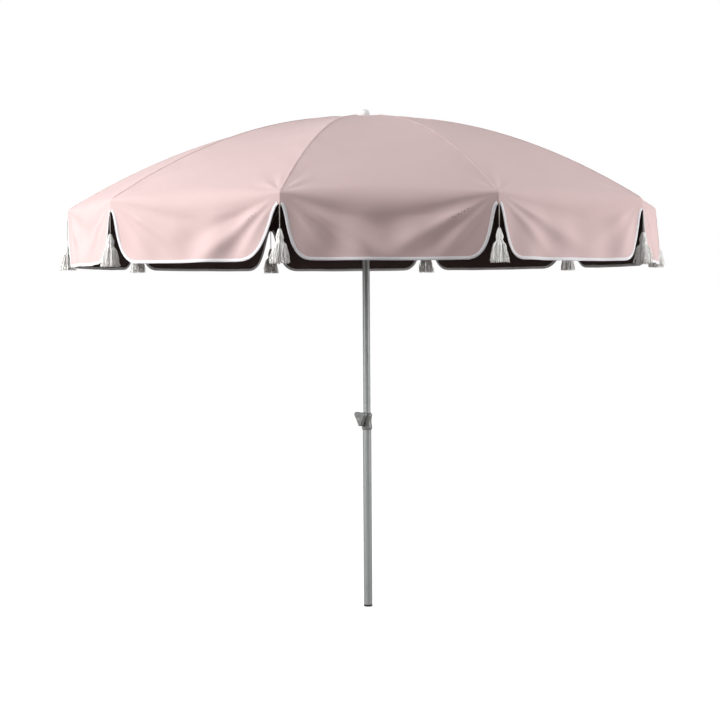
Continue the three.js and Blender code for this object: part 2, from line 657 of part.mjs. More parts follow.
function canopyGeometry() {
  const rows = goreRows();
  const points = [];
  const known = new Map();
  const corner = (k, row, j) => {
    const edge = j === 0 || j === GORE_PARTS;
    const shared = edge && !rows[row].open;
    const line = (k + (j === GORE_PARTS ? 1 : 0)) % RIB_COUNT;
    const key = shared ? `rib ${line} ${row}` : `gore ${k} ${row} ${j}`;
    if (!known.has(key)) {
      const { radius, height, sag, inset } = rows[row];
      const share = (2 * j) / GORE_PARTS - 1;
      const [x, y] = acrossGore(k, share, radius, inset);
      known.set(key, points.length / 3);
      points.push(x, y, height - sag * (1 - share ** 2));
    }
    return known.get(key);
  };
  const triangles = [];
  for (let k = 0; k < RIB_COUNT; k += 1) {
    for (let row = 0; row < rows.length - 1; row += 1) {
      for (let j = 0; j < GORE_PARTS; j += 1) {
        const a = corner(k, row, j);
        const b = corner(k, row + 1, j);
        const c = corner(k, row + 1, j + 1);
        const d = corner(k, row, j + 1);
        triangles.push(a, b, c, a, c, d);
      }
    }
  }
  return thickened(points, triangles, FABRIC_WALL);
}

// ---------------------------------------------------------------- tassels
const hangingRadius = CANOPY_RADIUS + (FLAP_FLARE * CORD_START) / FLAP_DROP;

function cordGeometry() {
  const top = new THREE.Vector3(hangingRadius, 0, RIM_HEIGHT - CORD_START);
  const bottom = top.clone().setZ(top.z - CORD_LENGTH);
  const section = new THREE.Shape();
  section.absarc(0, 0, CORD_RADIUS, 0, 2 * Math.PI, false);
  return new THREE.ExtrudeGeometry(section, {
    steps: CORD_STEPS,
    curveSegments: 4,
    extrudePath: new THREE.LineCurve3(top, bottom),
  });
}

function tasselGeometry() {
  const top = RIM_HEIGHT - CORD_START - CORD_LENGTH - FIT_GAP;
  const neck = top - TASSEL_HEAD;
  const profile = [
    [0, neck - TASSEL_SKIRT],
    [TASSEL_SKIRT_RADIUS, neck - TASSEL_SKIRT],
    [TASSEL_WAIST_RADIUS, neck - TASSEL_SKIRT / 2],
    [TASSEL_NECK_RADIUS + TASSEL_SHOULDER, neck - TASSEL_SHOULDER],
    [TASSEL_NECK_RADIUS, neck],
    [TASSEL_HEAD_RADIUS, neck + TASSEL_HEAD / 4],
    [TASSEL_HEAD_RADIUS, neck + TASSEL_HEAD / 2],
    [TASSEL_NECK_RADIUS, neck + TASSEL_HEAD * TASSEL_HEAD_TOP_SHARE],
    [0, top],
  ];
  return turned(profile, TASSEL_SIDES).translate(hangingRadius, 0, 0);
}

// ---------------------------------------------------------------- the whole parasol
makePoles();
makeClamp();
makeHub();
makeFinial();
makeRunner();
place('canopy', canopyGeometry(), fabric());

const rib = ribGeometry();
const stretcher = stretcherGeometry();
const cord = cordGeometry();
const tassel = tasselGeometry();
for (let k = 0; k < RIB_COUNT; k += 1) {
  const group = spoke(k);
  place(numbered('rib', k), rib, steel(), group);
  place(numbered('stretcher', k), stretcher, steel(), group);
  place(numbered('tassel_cord', k), cord, cotton(), group);
  place(numbered('tassel', k), tassel, cotton(), group);
}

export default parasol;
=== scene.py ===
import json
import math

import bmesh
import bpy
import numpy as np
from mathutils import Matrix, Vector


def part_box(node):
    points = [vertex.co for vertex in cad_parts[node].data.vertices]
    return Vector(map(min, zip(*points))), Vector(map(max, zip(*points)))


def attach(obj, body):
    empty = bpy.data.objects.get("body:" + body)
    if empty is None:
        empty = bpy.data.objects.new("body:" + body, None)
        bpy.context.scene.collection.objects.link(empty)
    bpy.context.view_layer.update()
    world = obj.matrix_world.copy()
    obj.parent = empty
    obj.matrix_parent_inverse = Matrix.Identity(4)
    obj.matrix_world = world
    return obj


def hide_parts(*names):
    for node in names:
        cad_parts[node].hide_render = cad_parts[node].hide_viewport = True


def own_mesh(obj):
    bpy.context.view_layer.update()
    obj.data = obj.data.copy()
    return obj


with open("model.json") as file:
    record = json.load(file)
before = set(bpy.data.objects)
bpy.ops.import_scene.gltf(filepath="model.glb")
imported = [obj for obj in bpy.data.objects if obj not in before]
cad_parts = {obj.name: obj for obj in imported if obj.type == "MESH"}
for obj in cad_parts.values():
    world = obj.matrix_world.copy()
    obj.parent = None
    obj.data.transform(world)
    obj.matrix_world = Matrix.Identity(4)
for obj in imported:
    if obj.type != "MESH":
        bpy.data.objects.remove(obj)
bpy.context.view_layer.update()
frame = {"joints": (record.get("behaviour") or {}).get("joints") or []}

scene = bpy.context.scene


# The camera stands seven metres off at head height, a little to the left of
# the parasol's front, with a long lens, and looks slightly down the pole.
CAMERA_PLACE = Vector((-0.514, -7.171, 1.382))
AIM_AZIMUTH = math.radians(86.133)
AIM_DOWN = math.radians(2.26)
CAMERA_LEAN = math.radians(0.38)
LENS = 81.15
SENSOR_WIDTH = 36

camera_data = bpy.data.cameras.new("camera")
camera_data.lens = LENS
camera_data.sensor_width = SENSOR_WIDTH
camera_data.clip_end = 200
camera = bpy.data.objects.new("camera", camera_data)
scene.collection.objects.link(camera)
ahead = Vector((
    math.cos(AIM_AZIMUTH) * math.cos(AIM_DOWN),
    math.sin(AIM_AZIMUTH) * math.cos(AIM_DOWN),
    -math.sin(AIM_DOWN),
))
level = ahead.cross(Vector((0, 0, 1))).normalized()
upright = level.cross(ahead)
leaning_up = upright * math.cos(CAMERA_LEAN) + level * math.sin(CAMERA_LEAN)
leaning_side = ahead.cross(leaning_up)
camera.matrix_world = Matrix.Translation(CAMERA_PLACE) @ Matrix((
    (leaning_side.x, leaning_up.x, -ahead.x, 0),
    (leaning_side.y, leaning_up.y, -ahead.y, 0),
    (leaning_side.z, leaning_up.z, -ahead.z, 0),
    (0, 0, 0, 1),
))
scene.camera = camera


# The studio is a plain pale floor under an even white sky. Two tall soft boxes
# stand at the sides, the left one stronger, so the front gore is the darkest.
LEFT_BOX_POWER = 290
RIGHT_BOX_POWER = 200
TOP_BOX_POWER = 80
LOW_BOX_POWER = 1.0

scene.view_settings.view_transform = "Standard"
sky = bpy.data.worlds.new("white sky")
scene.world = sky
sky.use_nodes = True
sky_nodes = sky.node_tree.nodes
sky_links = sky.node_tree.links
sky_nodes.clear()
sky_out = sky_nodes.new("ShaderNodeOutputWorld")
seen_sky = sky_nodes.new("ShaderNodeBackground")
seen_sky.inputs["Color"].default_value = (1, 1, 1, 1)
seen_sky.inputs["Strength"].default_value = 1.0
lit_sky = sky_nodes.new("ShaderNodeBackground")
sky_ramp = sky_nodes.new("ShaderNodeValToRGB")
sky_ramp.color_ramp.elements[0].position = 0.47
sky_ramp.color_ramp.elements[0].color = (0.075, 0.058, 0.05, 1)
sky_ramp.color_ramp.elements[1].position = 0.56
sky_ramp.color_ramp.elements[1].color = (0.31, 0.315, 0.32, 1)
sky_top = sky_ramp.color_ramp.elements.new(1.0)
sky_top.color = (0.54, 0.545, 0.55, 1)
sky_coord = sky_nodes.new("ShaderNodeTexCoord")
sky_split = sky_nodes.new("ShaderNodeSeparateXYZ")
sky_lift = sky_nodes.new("ShaderNodeMapRange")
sky_lift.inputs["From Min"].default_value = -1
sky_lift.inputs["From Max"].default_value = 1
sky_rays = sky_nodes.new("ShaderNodeLightPath")
sky_mix = sky_nodes.new("ShaderNodeMixShader")
sky_links.new(sky_coord.outputs["Generated"], sky_split.inputs[0])
sky_links.new(sky_split.outputs["Z"], sky_lift.inputs["Value"])
sky_links.new(sky_lift.outputs["Result"], sky_ramp.inputs["Fac"])
sky_links.new(sky_ramp.outputs["Color"], lit_sky.inputs["Color"])
sky_links.new(sky_rays.outputs["Is Camera Ray"], sky_mix.inputs[0])
sky_links.new(lit_sky.outputs[0], sky_mix.inputs[1])
sky_links.new(seen_sky.outputs[0], sky_mix.inputs[2])
sky_links.new(sky_mix.outputs[0], sky_out.inputs["Surface"])


def soft_box(name, place, target, size, power, spread=180):
    """A rectangular soft box that faces its target."""
    lamp = bpy.data.lights.new(name, "AREA")
    lamp.shape = "RECTANGLE"
    lamp.size = size[0]
    lamp.size_y = size[1]
    lamp.energy = power
    holder = bpy.data.objects.new(name, lamp)
    scene.collection.objects.link(holder)
    holder.location = place
    holder.rotation_euler = (Vector(target) - Vector(place)).to_track_quat("-Z", "Y").to_euler()
    holder.visible_camera = False
    lamp.spread = math.radians(spread)


soft_box("left soft box", (-5.3, -2.0, 2.3), (0, 0, 1.7), (2.4, 2.6), LEFT_BOX_POWER)
soft_box("right soft box", (5.2, -1.7, 1.8), (0, 0, 1.7), (2.4, 2.0), RIGHT_BOX_POWER)
soft_box("top soft box", (-2.2, -1.5, 6.0), (0, 0, 2), (3.0, 3.0), TOP_BOX_POWER)
soft_box("low soft box", (-1.6, -3.6, 0.7), (0, 0, 0.25), (0.8, 0.5), LOW_BOX_POWER, 40)

floor_mesh = bpy.data.meshes.new("floor")
floor_mesh.from_pydata([(-40, -40, 0), (40, -40, 0), (40, 40, 0), (-40, 40, 0)], [], [(0, 1, 2, 3)])
floor = bpy.data.objects.new("floor", floor_mesh)
scene.collection.objects.link(floor)
floor_paint = bpy.data.materials.new("floor paint")
floor_paint.use_nodes = True
floor_shader = floor_paint.node_tree.nodes["Principled BSDF"]
floor_shader.inputs["Base Color"].default_value = (0.9, 0.9, 0.9, 1)
floor_shader.inputs["Roughness"].default_value = 0.9
floor_shader.inputs["Emission Color"].default_value = (1, 1, 1, 1)
floor_shader.inputs["Emission Strength"].default_value = 0.62
floor_mesh.materials.append(floor_paint)
floor.visible_diffuse = False
floor.visible_glossy = False


# Each tassel hangs on a short twisted cotton cord, 4 mm thick, that is sewn in
# the top of a slit. The cord runs on into the tassel's head, where it is tied.
SPOKES = 10
CORD_THICKNESS = 0.004
CORD_TOP = 1.717
CORD_LENGTH = 0.152
CORD_RADIUS = 1.30435
CORD_TURNS = 22


def node_tree(name, inputs):
    """A new geometry tree with named inputs, its entry node and its exit node."""
    tree = bpy.data.node_groups.new(name, "GeometryNodeTree")
    tree.interface.new_socket("Geometry", in_out="INPUT", socket_type="NodeSocketGeometry")
    for label, kind, value in inputs:
        socket = tree.interface.new_socket(label, in_out="INPUT", socket_type="NodeSocket" + kind)
        if value is not None:
            socket.default_value = value
    tree.interface.new_socket("Geometry", in_out="OUTPUT", socket_type="NodeSocketGeometry")
    entry = tree.nodes.new("NodeGroupInput")
    leave = tree.nodes.new("NodeGroupOutput")
    return tree, entry, leave


def put(tree, kind, values=(), **facts):
    """A node with its properties set and its sockets set or wired, by place or by name."""
    node = tree.nodes.new(kind)
    for fact, value in facts.items():
        setattr(node, fact, value)
    for socket, value in dict(values).items():
        if isinstance(value, bpy.types.NodeSocket):
            tree.links.new(value, node.inputs[socket])
        else:
            node.inputs[socket].default_value = value
    return node


def sum_of(tree, operation, first, second=0.0, third=0.0):
    """The output of one Math node."""
    return put(tree, "ShaderNodeMath", {0: first, 1: second, 2: third}, operation=operation).outputs[0]


def linked(name, mesh):
    """A mesh object at the origin of the scene."""
    piece = bpy.data.objects.new(name, mesh)
    scene.collection.objects.link(piece)
    return piece


def grown(name, tree, values, path=()):
    """A plain mesh that the tree makes, along a line of points where it needs one."""
    line = bpy.data.meshes.new(name + " line")
    line.from_pydata([tuple(p) for p in path], [(i, i + 1) for i in range(len(path) - 1)], [])
    seed = linked(name + " line", line)
    maker = seed.modifiers.new("maker", "NODES")
    maker.node_group = tree
    for item in tree.interface.items_tree:
        if item.item_type == "SOCKET" and item.in_out == "INPUT" and item.name in values:
            maker[item.identifier] = values[item.name]
    ready = bpy.context.evaluated_depsgraph_get()
    ready.update()
    mesh = bpy.data.meshes.new_from_object(seed.evaluated_get(ready))
    seed.modifiers.remove(maker)
    bpy.data.objects.remove(seed)
    mesh.name = name
    return linked(name, mesh)


def shader_of(name, base, roughness, metallic=0.0):
    """A material with its Principled shader's plain values set."""
    material = bpy.data.materials.new(name)
    material.use_nodes = True
    shader = material.node_tree.nodes["Principled BSDF"]
    shader.inputs["Base Color"].default_value = (*base, 1)
    shader.inputs["Roughness"].default_value = roughness
    shader.inputs["Metallic"].default_value = metallic
    return material, material.node_tree, shader


def fibre_effect():
    """Short fibres: a shade that varies from strand to strand, and a fine height."""
    group = bpy.data.node_groups.new("fibres", "ShaderNodeTree")
    for label, kind, value in (
        ("Light", "Color", (1, 1, 1, 1)),
        ("Dark", "Color", (0.8, 0.8, 0.8, 1)),
        ("Grain", "Float", 900.0),
    ):
        socket = group.interface.new_socket(label, in_out="INPUT", socket_type="NodeSocket" + kind)
        socket.default_value = value
    group.interface.new_socket("Color", in_out="OUTPUT", socket_type="NodeSocketColor")
    group.interface.new_socket("Height", in_out="OUTPUT", socket_type="NodeSocketFloat")
    entry = group.nodes.new("NodeGroupInput")
    leave = group.nodes.new("NodeGroupOutput")
    place = put(group, "ShaderNodeTexCoord").outputs["Object"]
    stretch = put(group, "ShaderNodeMapping", {"Vector": place, "Scale": (1, 1, 0.12)})
    fuzz = put(group, "ShaderNodeTexNoise", {
        "Vector": stretch.outputs[0], "Scale": entry.outputs["Grain"], "Detail": 3.0,
    })
    patch = put(group, "ShaderNodeTexNoise", {"Vector": place, "Scale": 55.0, "Detail": 2.0})
    blend = sum_of(group, "MULTIPLY_ADD", fuzz.outputs[0], 0.5, 0.0)
    share = sum_of(group, "MULTIPLY_ADD", patch.outputs[0], 0.5, blend)
    mix = group.nodes.new("ShaderNodeMix")
    mix.data_type = "RGBA"
    group.links.new(share, mix.inputs[0])
    group.links.new(entry.outputs["Dark"], mix.inputs[6])
    group.links.new(entry.outputs["Light"], mix.inputs[7])
    group.links.new(mix.outputs[2], leave.inputs["Color"])
    group.links.new(fuzz.outputs[0], leave.inputs["Height"])
    return group


fibres = fibre_effect()


def cotton(name, light, dark, grain, depth):
    """Soft matt cotton yarn in two near shades."""
    material, tree, shader = shader_of(name, light, 0.95)
    fuzz = tree.nodes.new("ShaderNodeGroup")
    fuzz.node_tree = fibres
    fuzz.inputs["Light"].default_value = (*light, 1)
    fuzz.inputs["Dark"].default_value = (*dark, 1)
    fuzz.inputs["Grain"].default_value = grain
    tree.links.new(fuzz.outputs["Color"], shader.inputs["Base Color"])
    bump = put(tree, "ShaderNodeBump", {
        "Strength": depth, "Distance": 0.0006, "Height": fuzz.outputs["Height"]})
    tree.links.new(bump.outputs[0], shader.inputs["Normal"])
    shader.inputs["Sheen Weight"].default_value = 0.25
    shader.inputs["Sheen Roughness"].default_value = 0.6
    return material


cord_cotton = cotton("cord cotton", (0.68, 0.64, 0.6), (0.42, 0.38, 0.34), 1100.0, 0.5)

cord_tree, cord_in, cord_out = node_tree("twisted cord", (
    ("Thickness", "Float", CORD_THICKNESS),
    ("Turns", "Float", 20.0),
    ("Material", "Material", None),
))
cord_line = put(cord_tree, "GeometryNodeMeshToCurve", {0: cord_in.outputs["Geometry"]})
cord_even = put(cord_tree, "GeometryNodeResampleCurve", {"Curve": cord_line.outputs[0], "Count": 150})
cord_along = put(cord_tree, "GeometryNodeSplineParameter").outputs["Factor"]
cord_angle = sum_of(cord_tree, "MULTIPLY", sum_of(cord_tree, "MULTIPLY", cord_along, math.tau),
                    cord_in.outputs["Turns"])
cord_tilted = put(cord_tree, "GeometryNodeSetCurveTilt", {"Curve": cord_even.outputs[0], "Tilt": cord_angle})
cord_ring = put(cord_tree, "GeometryNodeCurvePrimitiveCircle", {"Resolution": 15, "Radius": 1.0})
cord_lobe = sum_of(cord_tree, "COSINE", sum_of(
    cord_tree, "MULTIPLY", put(cord_tree, "GeometryNodeSplineParameter").outputs["Factor"], 3 * math.tau))
cord_reach = sum_of(cord_tree, "MULTIPLY", sum_of(cord_tree, "MULTIPLY_ADD", cord_lobe, 0.2, 0.86),
                    sum_of(cord_tree, "MULTIPLY", cord_in.outputs["Thickness"], 0.5))
cord_place = put(cord_tree, "ShaderNodeVectorMath", {
    0: put(cord_tree, "GeometryNodeInputPosition").outputs[0], "Scale": cord_reach}, operation="SCALE")
cord_shape = put(cord_tree, "GeometryNodeSetPosition", {
    "Geometry": cord_ring.outputs[0], "Position": cord_place.outputs[0]})
cord_tube = put(cord_tree, "GeometryNodeCurveToMesh", {
    "Curve": cord_tilted.outputs[0], "Profile Curve": cord_shape.outputs[0], "Fill Caps": True})
cord_smooth = put(cord_tree, "GeometryNodeSetShadeSmooth", {"Geometry": cord_tube.outputs[0]})
cord_done = put(cord_tree, "GeometryNodeSetMaterial", {
    "Geometry": put(cord_tree, "GeometryNodeRealizeInstances", {0: cord_smooth.outputs[0]}).outputs[0],
    "Material": cord_in.outputs["Material"]})
cord_tree.links.new(cord_done.outputs[0], cord_out.inputs[0])

spoke_names = [f"{number:02d}" for number in range(1, SPOKES + 1)]
spoke_azimuth = {name: math.tau * place / SPOKES for place, name in enumerate(spoke_names)}
cord_path = {}
for name in spoke_names:
    azimuth = spoke_azimuth[name]
    cord_path[name] = [
        (CORD_RADIUS * math.cos(azimuth), CORD_RADIUS * math.sin(azimuth), CORD_TOP - CORD_LENGTH * step / 30)
        for step in range(31)
    ]
    cord = grown("cord_" + name, cord_tree, {
        "Thickness": CORD_THICKNESS, "Turns": float(CORD_TURNS), "Material": cord_cotton,
    }, cord_path[name])
    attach(cord, "hem_" + name)
    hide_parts("tassel_cord_" + name)


# The tassels are bunches of loose white cotton yarn, 130 mm long: tied at the
# top, bound at a neck a third of the way down, and fanned out into a skirt.
TASSEL_TOP = 1.6285
TASSEL_LENGTH = 0.128
TASSEL_STRANDS = 120
TASSEL_SPREAD = 0.0375
YARN_RADIUS = 0.00135
NECK_SHARE = 0.36
NECK_RADIUS = 0.0098
NECK_WRAPS = 5

tassel_cotton = cotton("tassel cotton", (1.0, 0.995, 0.97), (0.95, 0.945, 0.92), 700.0, 0.25)

tassel_tree, tassel_in, tassel_out = node_tree("bunch of yarn", (
    ("Strands", "Int", TASSEL_STRANDS),
    ("Length", "Float", TASSEL_LENGTH),
    ("Spread", "Float", TASSEL_SPREAD),
    ("Yarn Radius", "Float", YARN_RADIUS),
    ("Seed", "Int", 1),
    ("Material", "Material", None),
))


def random_of(low, high, salt):
    """The output of one seeded Random Value node between two numbers."""
    node = tassel_tree.nodes.new("FunctionNodeRandomValue")
    node.data_type = "FLOAT"
    node.inputs[2].default_value = low
    node.inputs[3].default_value = high
    salted = sum_of(tassel_tree, "ADD", tassel_in.outputs["Seed"], float(salt))
    tassel_tree.links.new(salted, node.inputs["Seed"])
    return node.outputs[1]


def kept_number(geometry, label, value):
    """The points with one more named number on each."""
    return put(tassel_tree, "GeometryNodeStoreNamedAttribute", {
        "Geometry": geometry, "Name": label, "Value": value,
    }, data_type="FLOAT", domain="POINT").outputs[0]


def read_number(label):
    """The named number of each strand."""
    return put(tassel_tree, "GeometryNodeInputNamedAttribute", {"Name": label}, data_type="FLOAT").outputs[0]


yarn_points = put(tassel_tree, "GeometryNodePoints", {"Count": tassel_in.outputs["Strands"]}).outputs[0]
yarn_points = kept_number(yarn_points, "turn", random_of(0.0, math.tau, 11))
yarn_points = kept_number(yarn_points, "depth", random_of(0.12, 1.0, 23))
yarn_points = kept_number(yarn_points, "cut", random_of(0.93, 1.0, 37))
yarn_points = kept_number(yarn_points, "drift", random_of(-1.0, 1.0, 41))
yarn_line = put(tassel_tree, "GeometryNodeCurvePrimitiveLine", {"Start": (0, 0, 0), "End": (0, 0, -1)})
yarn_even = put(tassel_tree, "GeometryNodeResampleCurve", {"Curve": yarn_line.outputs[0], "Count": 16})
yarn_bunch = put(tassel_tree, "GeometryNodeInstanceOnPoints", {
    "Points": yarn_points, "Instance": yarn_even.outputs[0]})
yarn_real = put(tassel_tree, "GeometryNodeRealizeInstances", {0: yarn_bunch.outputs[0]}).outputs[0]
yarn_along = put(tassel_tree, "GeometryNodeSplineParameter").outputs["Factor"]
yarn_shape = tassel_tree.nodes.new("ShaderNodeFloatCurve")
yarn_curve = yarn_shape.mapping.curves[0]
for place, reach in ((0.04, 0.17), (0.14, 0.28), (0.25, 0.38), (NECK_SHARE, 0.33), (0.46, 0.62), (0.62, 0.8)):
    yarn_curve.points.new(place, reach)
yarn_curve.points[0].location = (0, 0.1)
yarn_curve.points[len(yarn_curve.points) - 1].location = (1, 1)
yarn_shape.mapping.update()
tassel_tree.links.new(yarn_along, yarn_shape.inputs["Value"])
yarn_rank = sum_of(tassel_tree, "SQRT", read_number("depth"))
yarn_wave = put(tassel_tree, "ShaderNodeTexNoise", {
    "W": sum_of(tassel_tree, "MULTIPLY_ADD", read_number("turn"), 9.0, yarn_along),
    "Scale": 3.1, "Detail": 1.0,
}, noise_dimensions="1D").outputs[0]
yarn_loose = sum_of(tassel_tree, "MULTIPLY_ADD", yarn_wave, 0.5, 0.74)
yarn_radius = sum_of(tassel_tree, "MULTIPLY", sum_of(tassel_tree, "MULTIPLY", yarn_shape.outputs[0], yarn_rank),
                     sum_of(tassel_tree, "MULTIPLY", yarn_loose, tassel_in.outputs["Spread"]))
yarn_swing = sum_of(tassel_tree, "MULTIPLY", read_number("drift"),
                    sum_of(tassel_tree, "MULTIPLY", yarn_along, 0.42))
yarn_turned = sum_of(tassel_tree, "ADD", read_number("turn"), yarn_swing)
yarn_down = sum_of(tassel_tree, "MULTIPLY", sum_of(tassel_tree, "MULTIPLY", yarn_along, read_number("cut")),
                   sum_of(tassel_tree, "MULTIPLY", tassel_in.outputs["Length"], -1.0))
yarn_place = put(tassel_tree, "ShaderNodeCombineXYZ", {
    0: sum_of(tassel_tree, "MULTIPLY", yarn_radius, sum_of(tassel_tree, "COSINE", yarn_turned)),
    1: sum_of(tassel_tree, "MULTIPLY", yarn_radius, sum_of(tassel_tree, "SINE", yarn_turned)),
    2: yarn_down,
}).outputs[0]
yarn_set = put(tassel_tree, "GeometryNodeSetPosition", {"Geometry": yarn_real, "Position": yarn_place})
yarn_ring = put(tassel_tree, "GeometryNodeCurvePrimitiveCircle", {
    "Resolution": 5, "Radius": tassel_in.outputs["Yarn Radius"]})
yarn_tubes = put(tassel_tree, "GeometryNodeCurveToMesh", {
    "Curve": yarn_set.outputs[0], "Profile Curve": yarn_ring.outputs[0], "Fill Caps": True})
neck_turn = put(tassel_tree, "GeometryNodeCurveSpiral", {
    "Resolution": 20, "Rotations": float(NECK_WRAPS), "Start Radius": NECK_RADIUS,
    "End Radius": NECK_RADIUS, "Height": 0.0085})
neck_place = put(tassel_tree, "GeometryNodeTransform", {
    "Geometry": neck_turn.outputs[0], "Translation": (0, 0, -NECK_SHARE * TASSEL_LENGTH - 0.004)})
neck_tubes = put(tassel_tree, "GeometryNodeCurveToMesh", {
    "Curve": neck_place.outputs[0], "Profile Curve": yarn_ring.outputs[0], "Fill Caps": True})
top_knot = put(tassel_tree, "GeometryNodeMeshUVSphere", {"Segments": 16, "Rings": 10, "Radius": 0.0052})
top_place = put(tassel_tree, "GeometryNodeTransform", {
    "Geometry": top_knot.outputs[0], "Translation": (0, 0, -0.0035), "Scale": (1, 1, 0.85)})
tassel_all = tassel_tree.nodes.new("GeometryNodeJoinGeometry")
for part in (yarn_tubes, neck_tubes, top_place):
    tassel_tree.links.new(part.outputs[0], tassel_all.inputs[0])
tassel_smooth = put(tassel_tree, "GeometryNodeSetShadeSmooth", {"Geometry": tassel_all.outputs[0]})
tassel_done = put(tassel_tree, "GeometryNodeSetMaterial", {
    "Geometry": put(tassel_tree, "GeometryNodeRealizeInstances", {0: tassel_smooth.outputs[0]}).outputs[0],
    "Material": tassel_in.outputs["Material"]})
tassel_tree.links.new(tassel_done.outputs[0], tassel_out.inputs[0])

for number, name in enumerate(spoke_names):
    azimuth = spoke_azimuth[name]
    tassel = grown("yarn_tassel_" + name, tassel_tree, {
        "Strands": TASSEL_STRANDS, "Length": TASSEL_LENGTH, "Spread": TASSEL_SPREAD,
        "Yarn Radius": YARN_RADIUS, "Seed": 100 + 7 * number, "Material": tassel_cotton,
    })
    tassel.data.transform(Matrix.Translation((
        CORD_RADIUS * math.cos(azimuth), CORD_RADIUS * math.sin(azimuth), TASSEL_TOP,
    )) @ Matrix.Rotation(azimuth, 4, "Z"))
    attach(tassel, "hem_" + name)
    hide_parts("tassel_" + name)


# The canopy is ten sewn gores of plain woven polyester, dusty pink. Its inside
# is the same cloth in near-black, painted shade for the shadowed underside. Each
# gore hangs taut as a curved sheet between two ribs. It is drawn as ten panels,
# one on each rib, that meet in the middle of the gores.
joint_place = {joint["name"]: joint.get("pos_m") for joint in frame["joints"]}
crown_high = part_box("canopy")[1]
TIP_RADIUS = joint_place["hem_01_hang"][0]
RIM_HEIGHT = joint_place["hem_01_hang"][2]
CROWN_HEIGHT = crown_high[2] - 0.0008
FLAP_DROP = 0.253
FLAP_FLARE = 0.02
CLOTH = 0.001
GORE_SAG = 0.012
PANEL_START = 0.038

weave = bpy.data.node_groups.new("weave", "ShaderNodeTree")
for label, kind, value in (
    ("Light", "Color", (1, 1, 1, 1)),
    ("Dark", "Color", (0.8, 0.8, 0.8, 1)),
    ("Threads", "Float", 1400.0),
):
    weave.interface.new_socket(label, in_out="INPUT", socket_type="NodeSocket" + kind).default_value = value
weave.interface.new_socket("Color", in_out="OUTPUT", socket_type="NodeSocketColor")
weave.interface.new_socket("Height", in_out="OUTPUT", socket_type="NodeSocketFloat")
weave_in = weave.nodes.new("NodeGroupInput")
weave_out = weave.nodes.new("NodeGroupOutput")
weave_uv = put(weave, "ShaderNodeTexCoord").outputs["UV"]
weave_split = put(weave, "ShaderNodeSeparateXYZ", {0: weave_uv})
weave_count = weave_in.outputs["Threads"]
weave_warp = sum_of(weave, "SINE", sum_of(weave, "MULTIPLY", weave_split.outputs[0], weave_count))
weave_weft = sum_of(weave, "SINE", sum_of(weave, "MULTIPLY", weave_split.outputs[1], weave_count))
weave_height = sum_of(weave, "MULTIPLY", weave_warp, weave_weft)
weave_cloud = put(weave, "ShaderNodeTexNoise", {"Vector": weave_uv, "Scale": 5.0, "Detail": 4.0})
weave_slub = put(weave, "ShaderNodeTexNoise", {
    "Vector": put(weave, "ShaderNodeMapping", {"Vector": weave_uv, "Scale": (260, 18, 1)}).outputs[0],
    "Scale": 1.0, "Detail": 2.0})
weave_share = sum_of(weave, "MULTIPLY_ADD", weave_height, 0.12, sum_of(
    weave, "MULTIPLY_ADD", weave_slub.outputs[0], 0.35, sum_of(weave, "MULTIPLY", weave_cloud.outputs[0], 0.65)))
weave_mix = weave.nodes.new("ShaderNodeMix")
weave_mix.data_type = "RGBA"
weave.links.new(weave_share, weave_mix.inputs[0])
weave.links.new(weave_in.outputs["Dark"], weave_mix.inputs[6])
weave.links.new(weave_in.outputs["Light"], weave_mix.inputs[7])
weave.links.new(weave_mix.outputs[2], weave_out.inputs["Color"])
weave.links.new(weave_height, weave_out.inputs["Height"])


def woven(name, light, dark, roughness, threads, depth, sheen):
    """Plain woven cloth in two near shades, with its threads as a fine height."""
    material, tree, shader = shader_of(name, light, roughness)
    cloth = tree.nodes.new("ShaderNodeGroup")
    cloth.node_tree = weave
    cloth.inputs["Light"].default_value = (*light, 1)
    cloth.inputs["Dark"].default_value = (*dark, 1)
    cloth.inputs["Threads"].default_value = threads
    tree.links.new(cloth.outputs["Color"], shader.inputs["Base Color"])
    bump = put(tree, "ShaderNodeBump", {
        "Strength": depth, "Distance": 0.0003, "Height": cloth.outputs["Height"]})
    tree.links.new(bump.outputs[0], shader.inputs["Normal"])
    shader.inputs["Sheen Weight"].default_value = sheen
    shader.inputs["Sheen Roughness"].default_value = 0.5
    return material


pink_outside = woven("pink canvas", (0.71, 0.54, 0.53), (0.64, 0.472, 0.462), 0.85, 5200.0, 0.25, 0.1)
# The inside faces wear the same cloth in near-black: painted shade that stands in for the shadow under the canopy.
painted_shade_back = woven("dark canvas back", (0.082, 0.054, 0.048), (0.06, 0.038, 0.034), 0.9, 5200.0, 0.25, 0.0)


def rib_way(rib):
    """The outward direction of a rib, level."""
    azimuth = math.tau * rib / SPOKES
    return np.array((math.cos(azimuth), math.sin(azimuth), 0.0))


def corner_softness(share):
    """How far the cloth takes to turn over the rim: sharp at a rib, soft between two."""
    return 0.007 + 0.05 * np.sin(math.pi * share) ** 1.3


def cloth_section(share, reach):
    """Radius and height of the cloth, by the way gone from the crown along the section."""
    soft = corner_softness(share)
    top_reach = np.minimum(reach, TIP_RADIUS - soft)
    fall = (CROWN_HEIGHT - RIM_HEIGHT) / TIP_RADIUS ** 2
    crown_lift = 0.004 * np.exp(-((reach - 0.17) / 0.055) ** 2) - 0.002 * np.exp(-(reach / 0.1) ** 2)
    top = (top_reach, CROWN_HEIGHT - fall * top_reach ** 2)
    drop = np.maximum(reach - TIP_RADIUS, soft)
    flap = (TIP_RADIUS + FLAP_FLARE * drop / FLAP_DROP, RIM_HEIGHT - drop)
    turn = np.clip((reach - TIP_RADIUS + soft) / (2 * soft), 0, 1)
    result = []
    for start, corner, end in zip(top, (TIP_RADIUS, RIM_HEIGHT), flap):
        round_part = start * (1 - turn) ** 2 + corner * 2 * turn * (1 - turn) + end * turn ** 2
        result.append(round_part)
    return result[0], result[1] + crown_lift


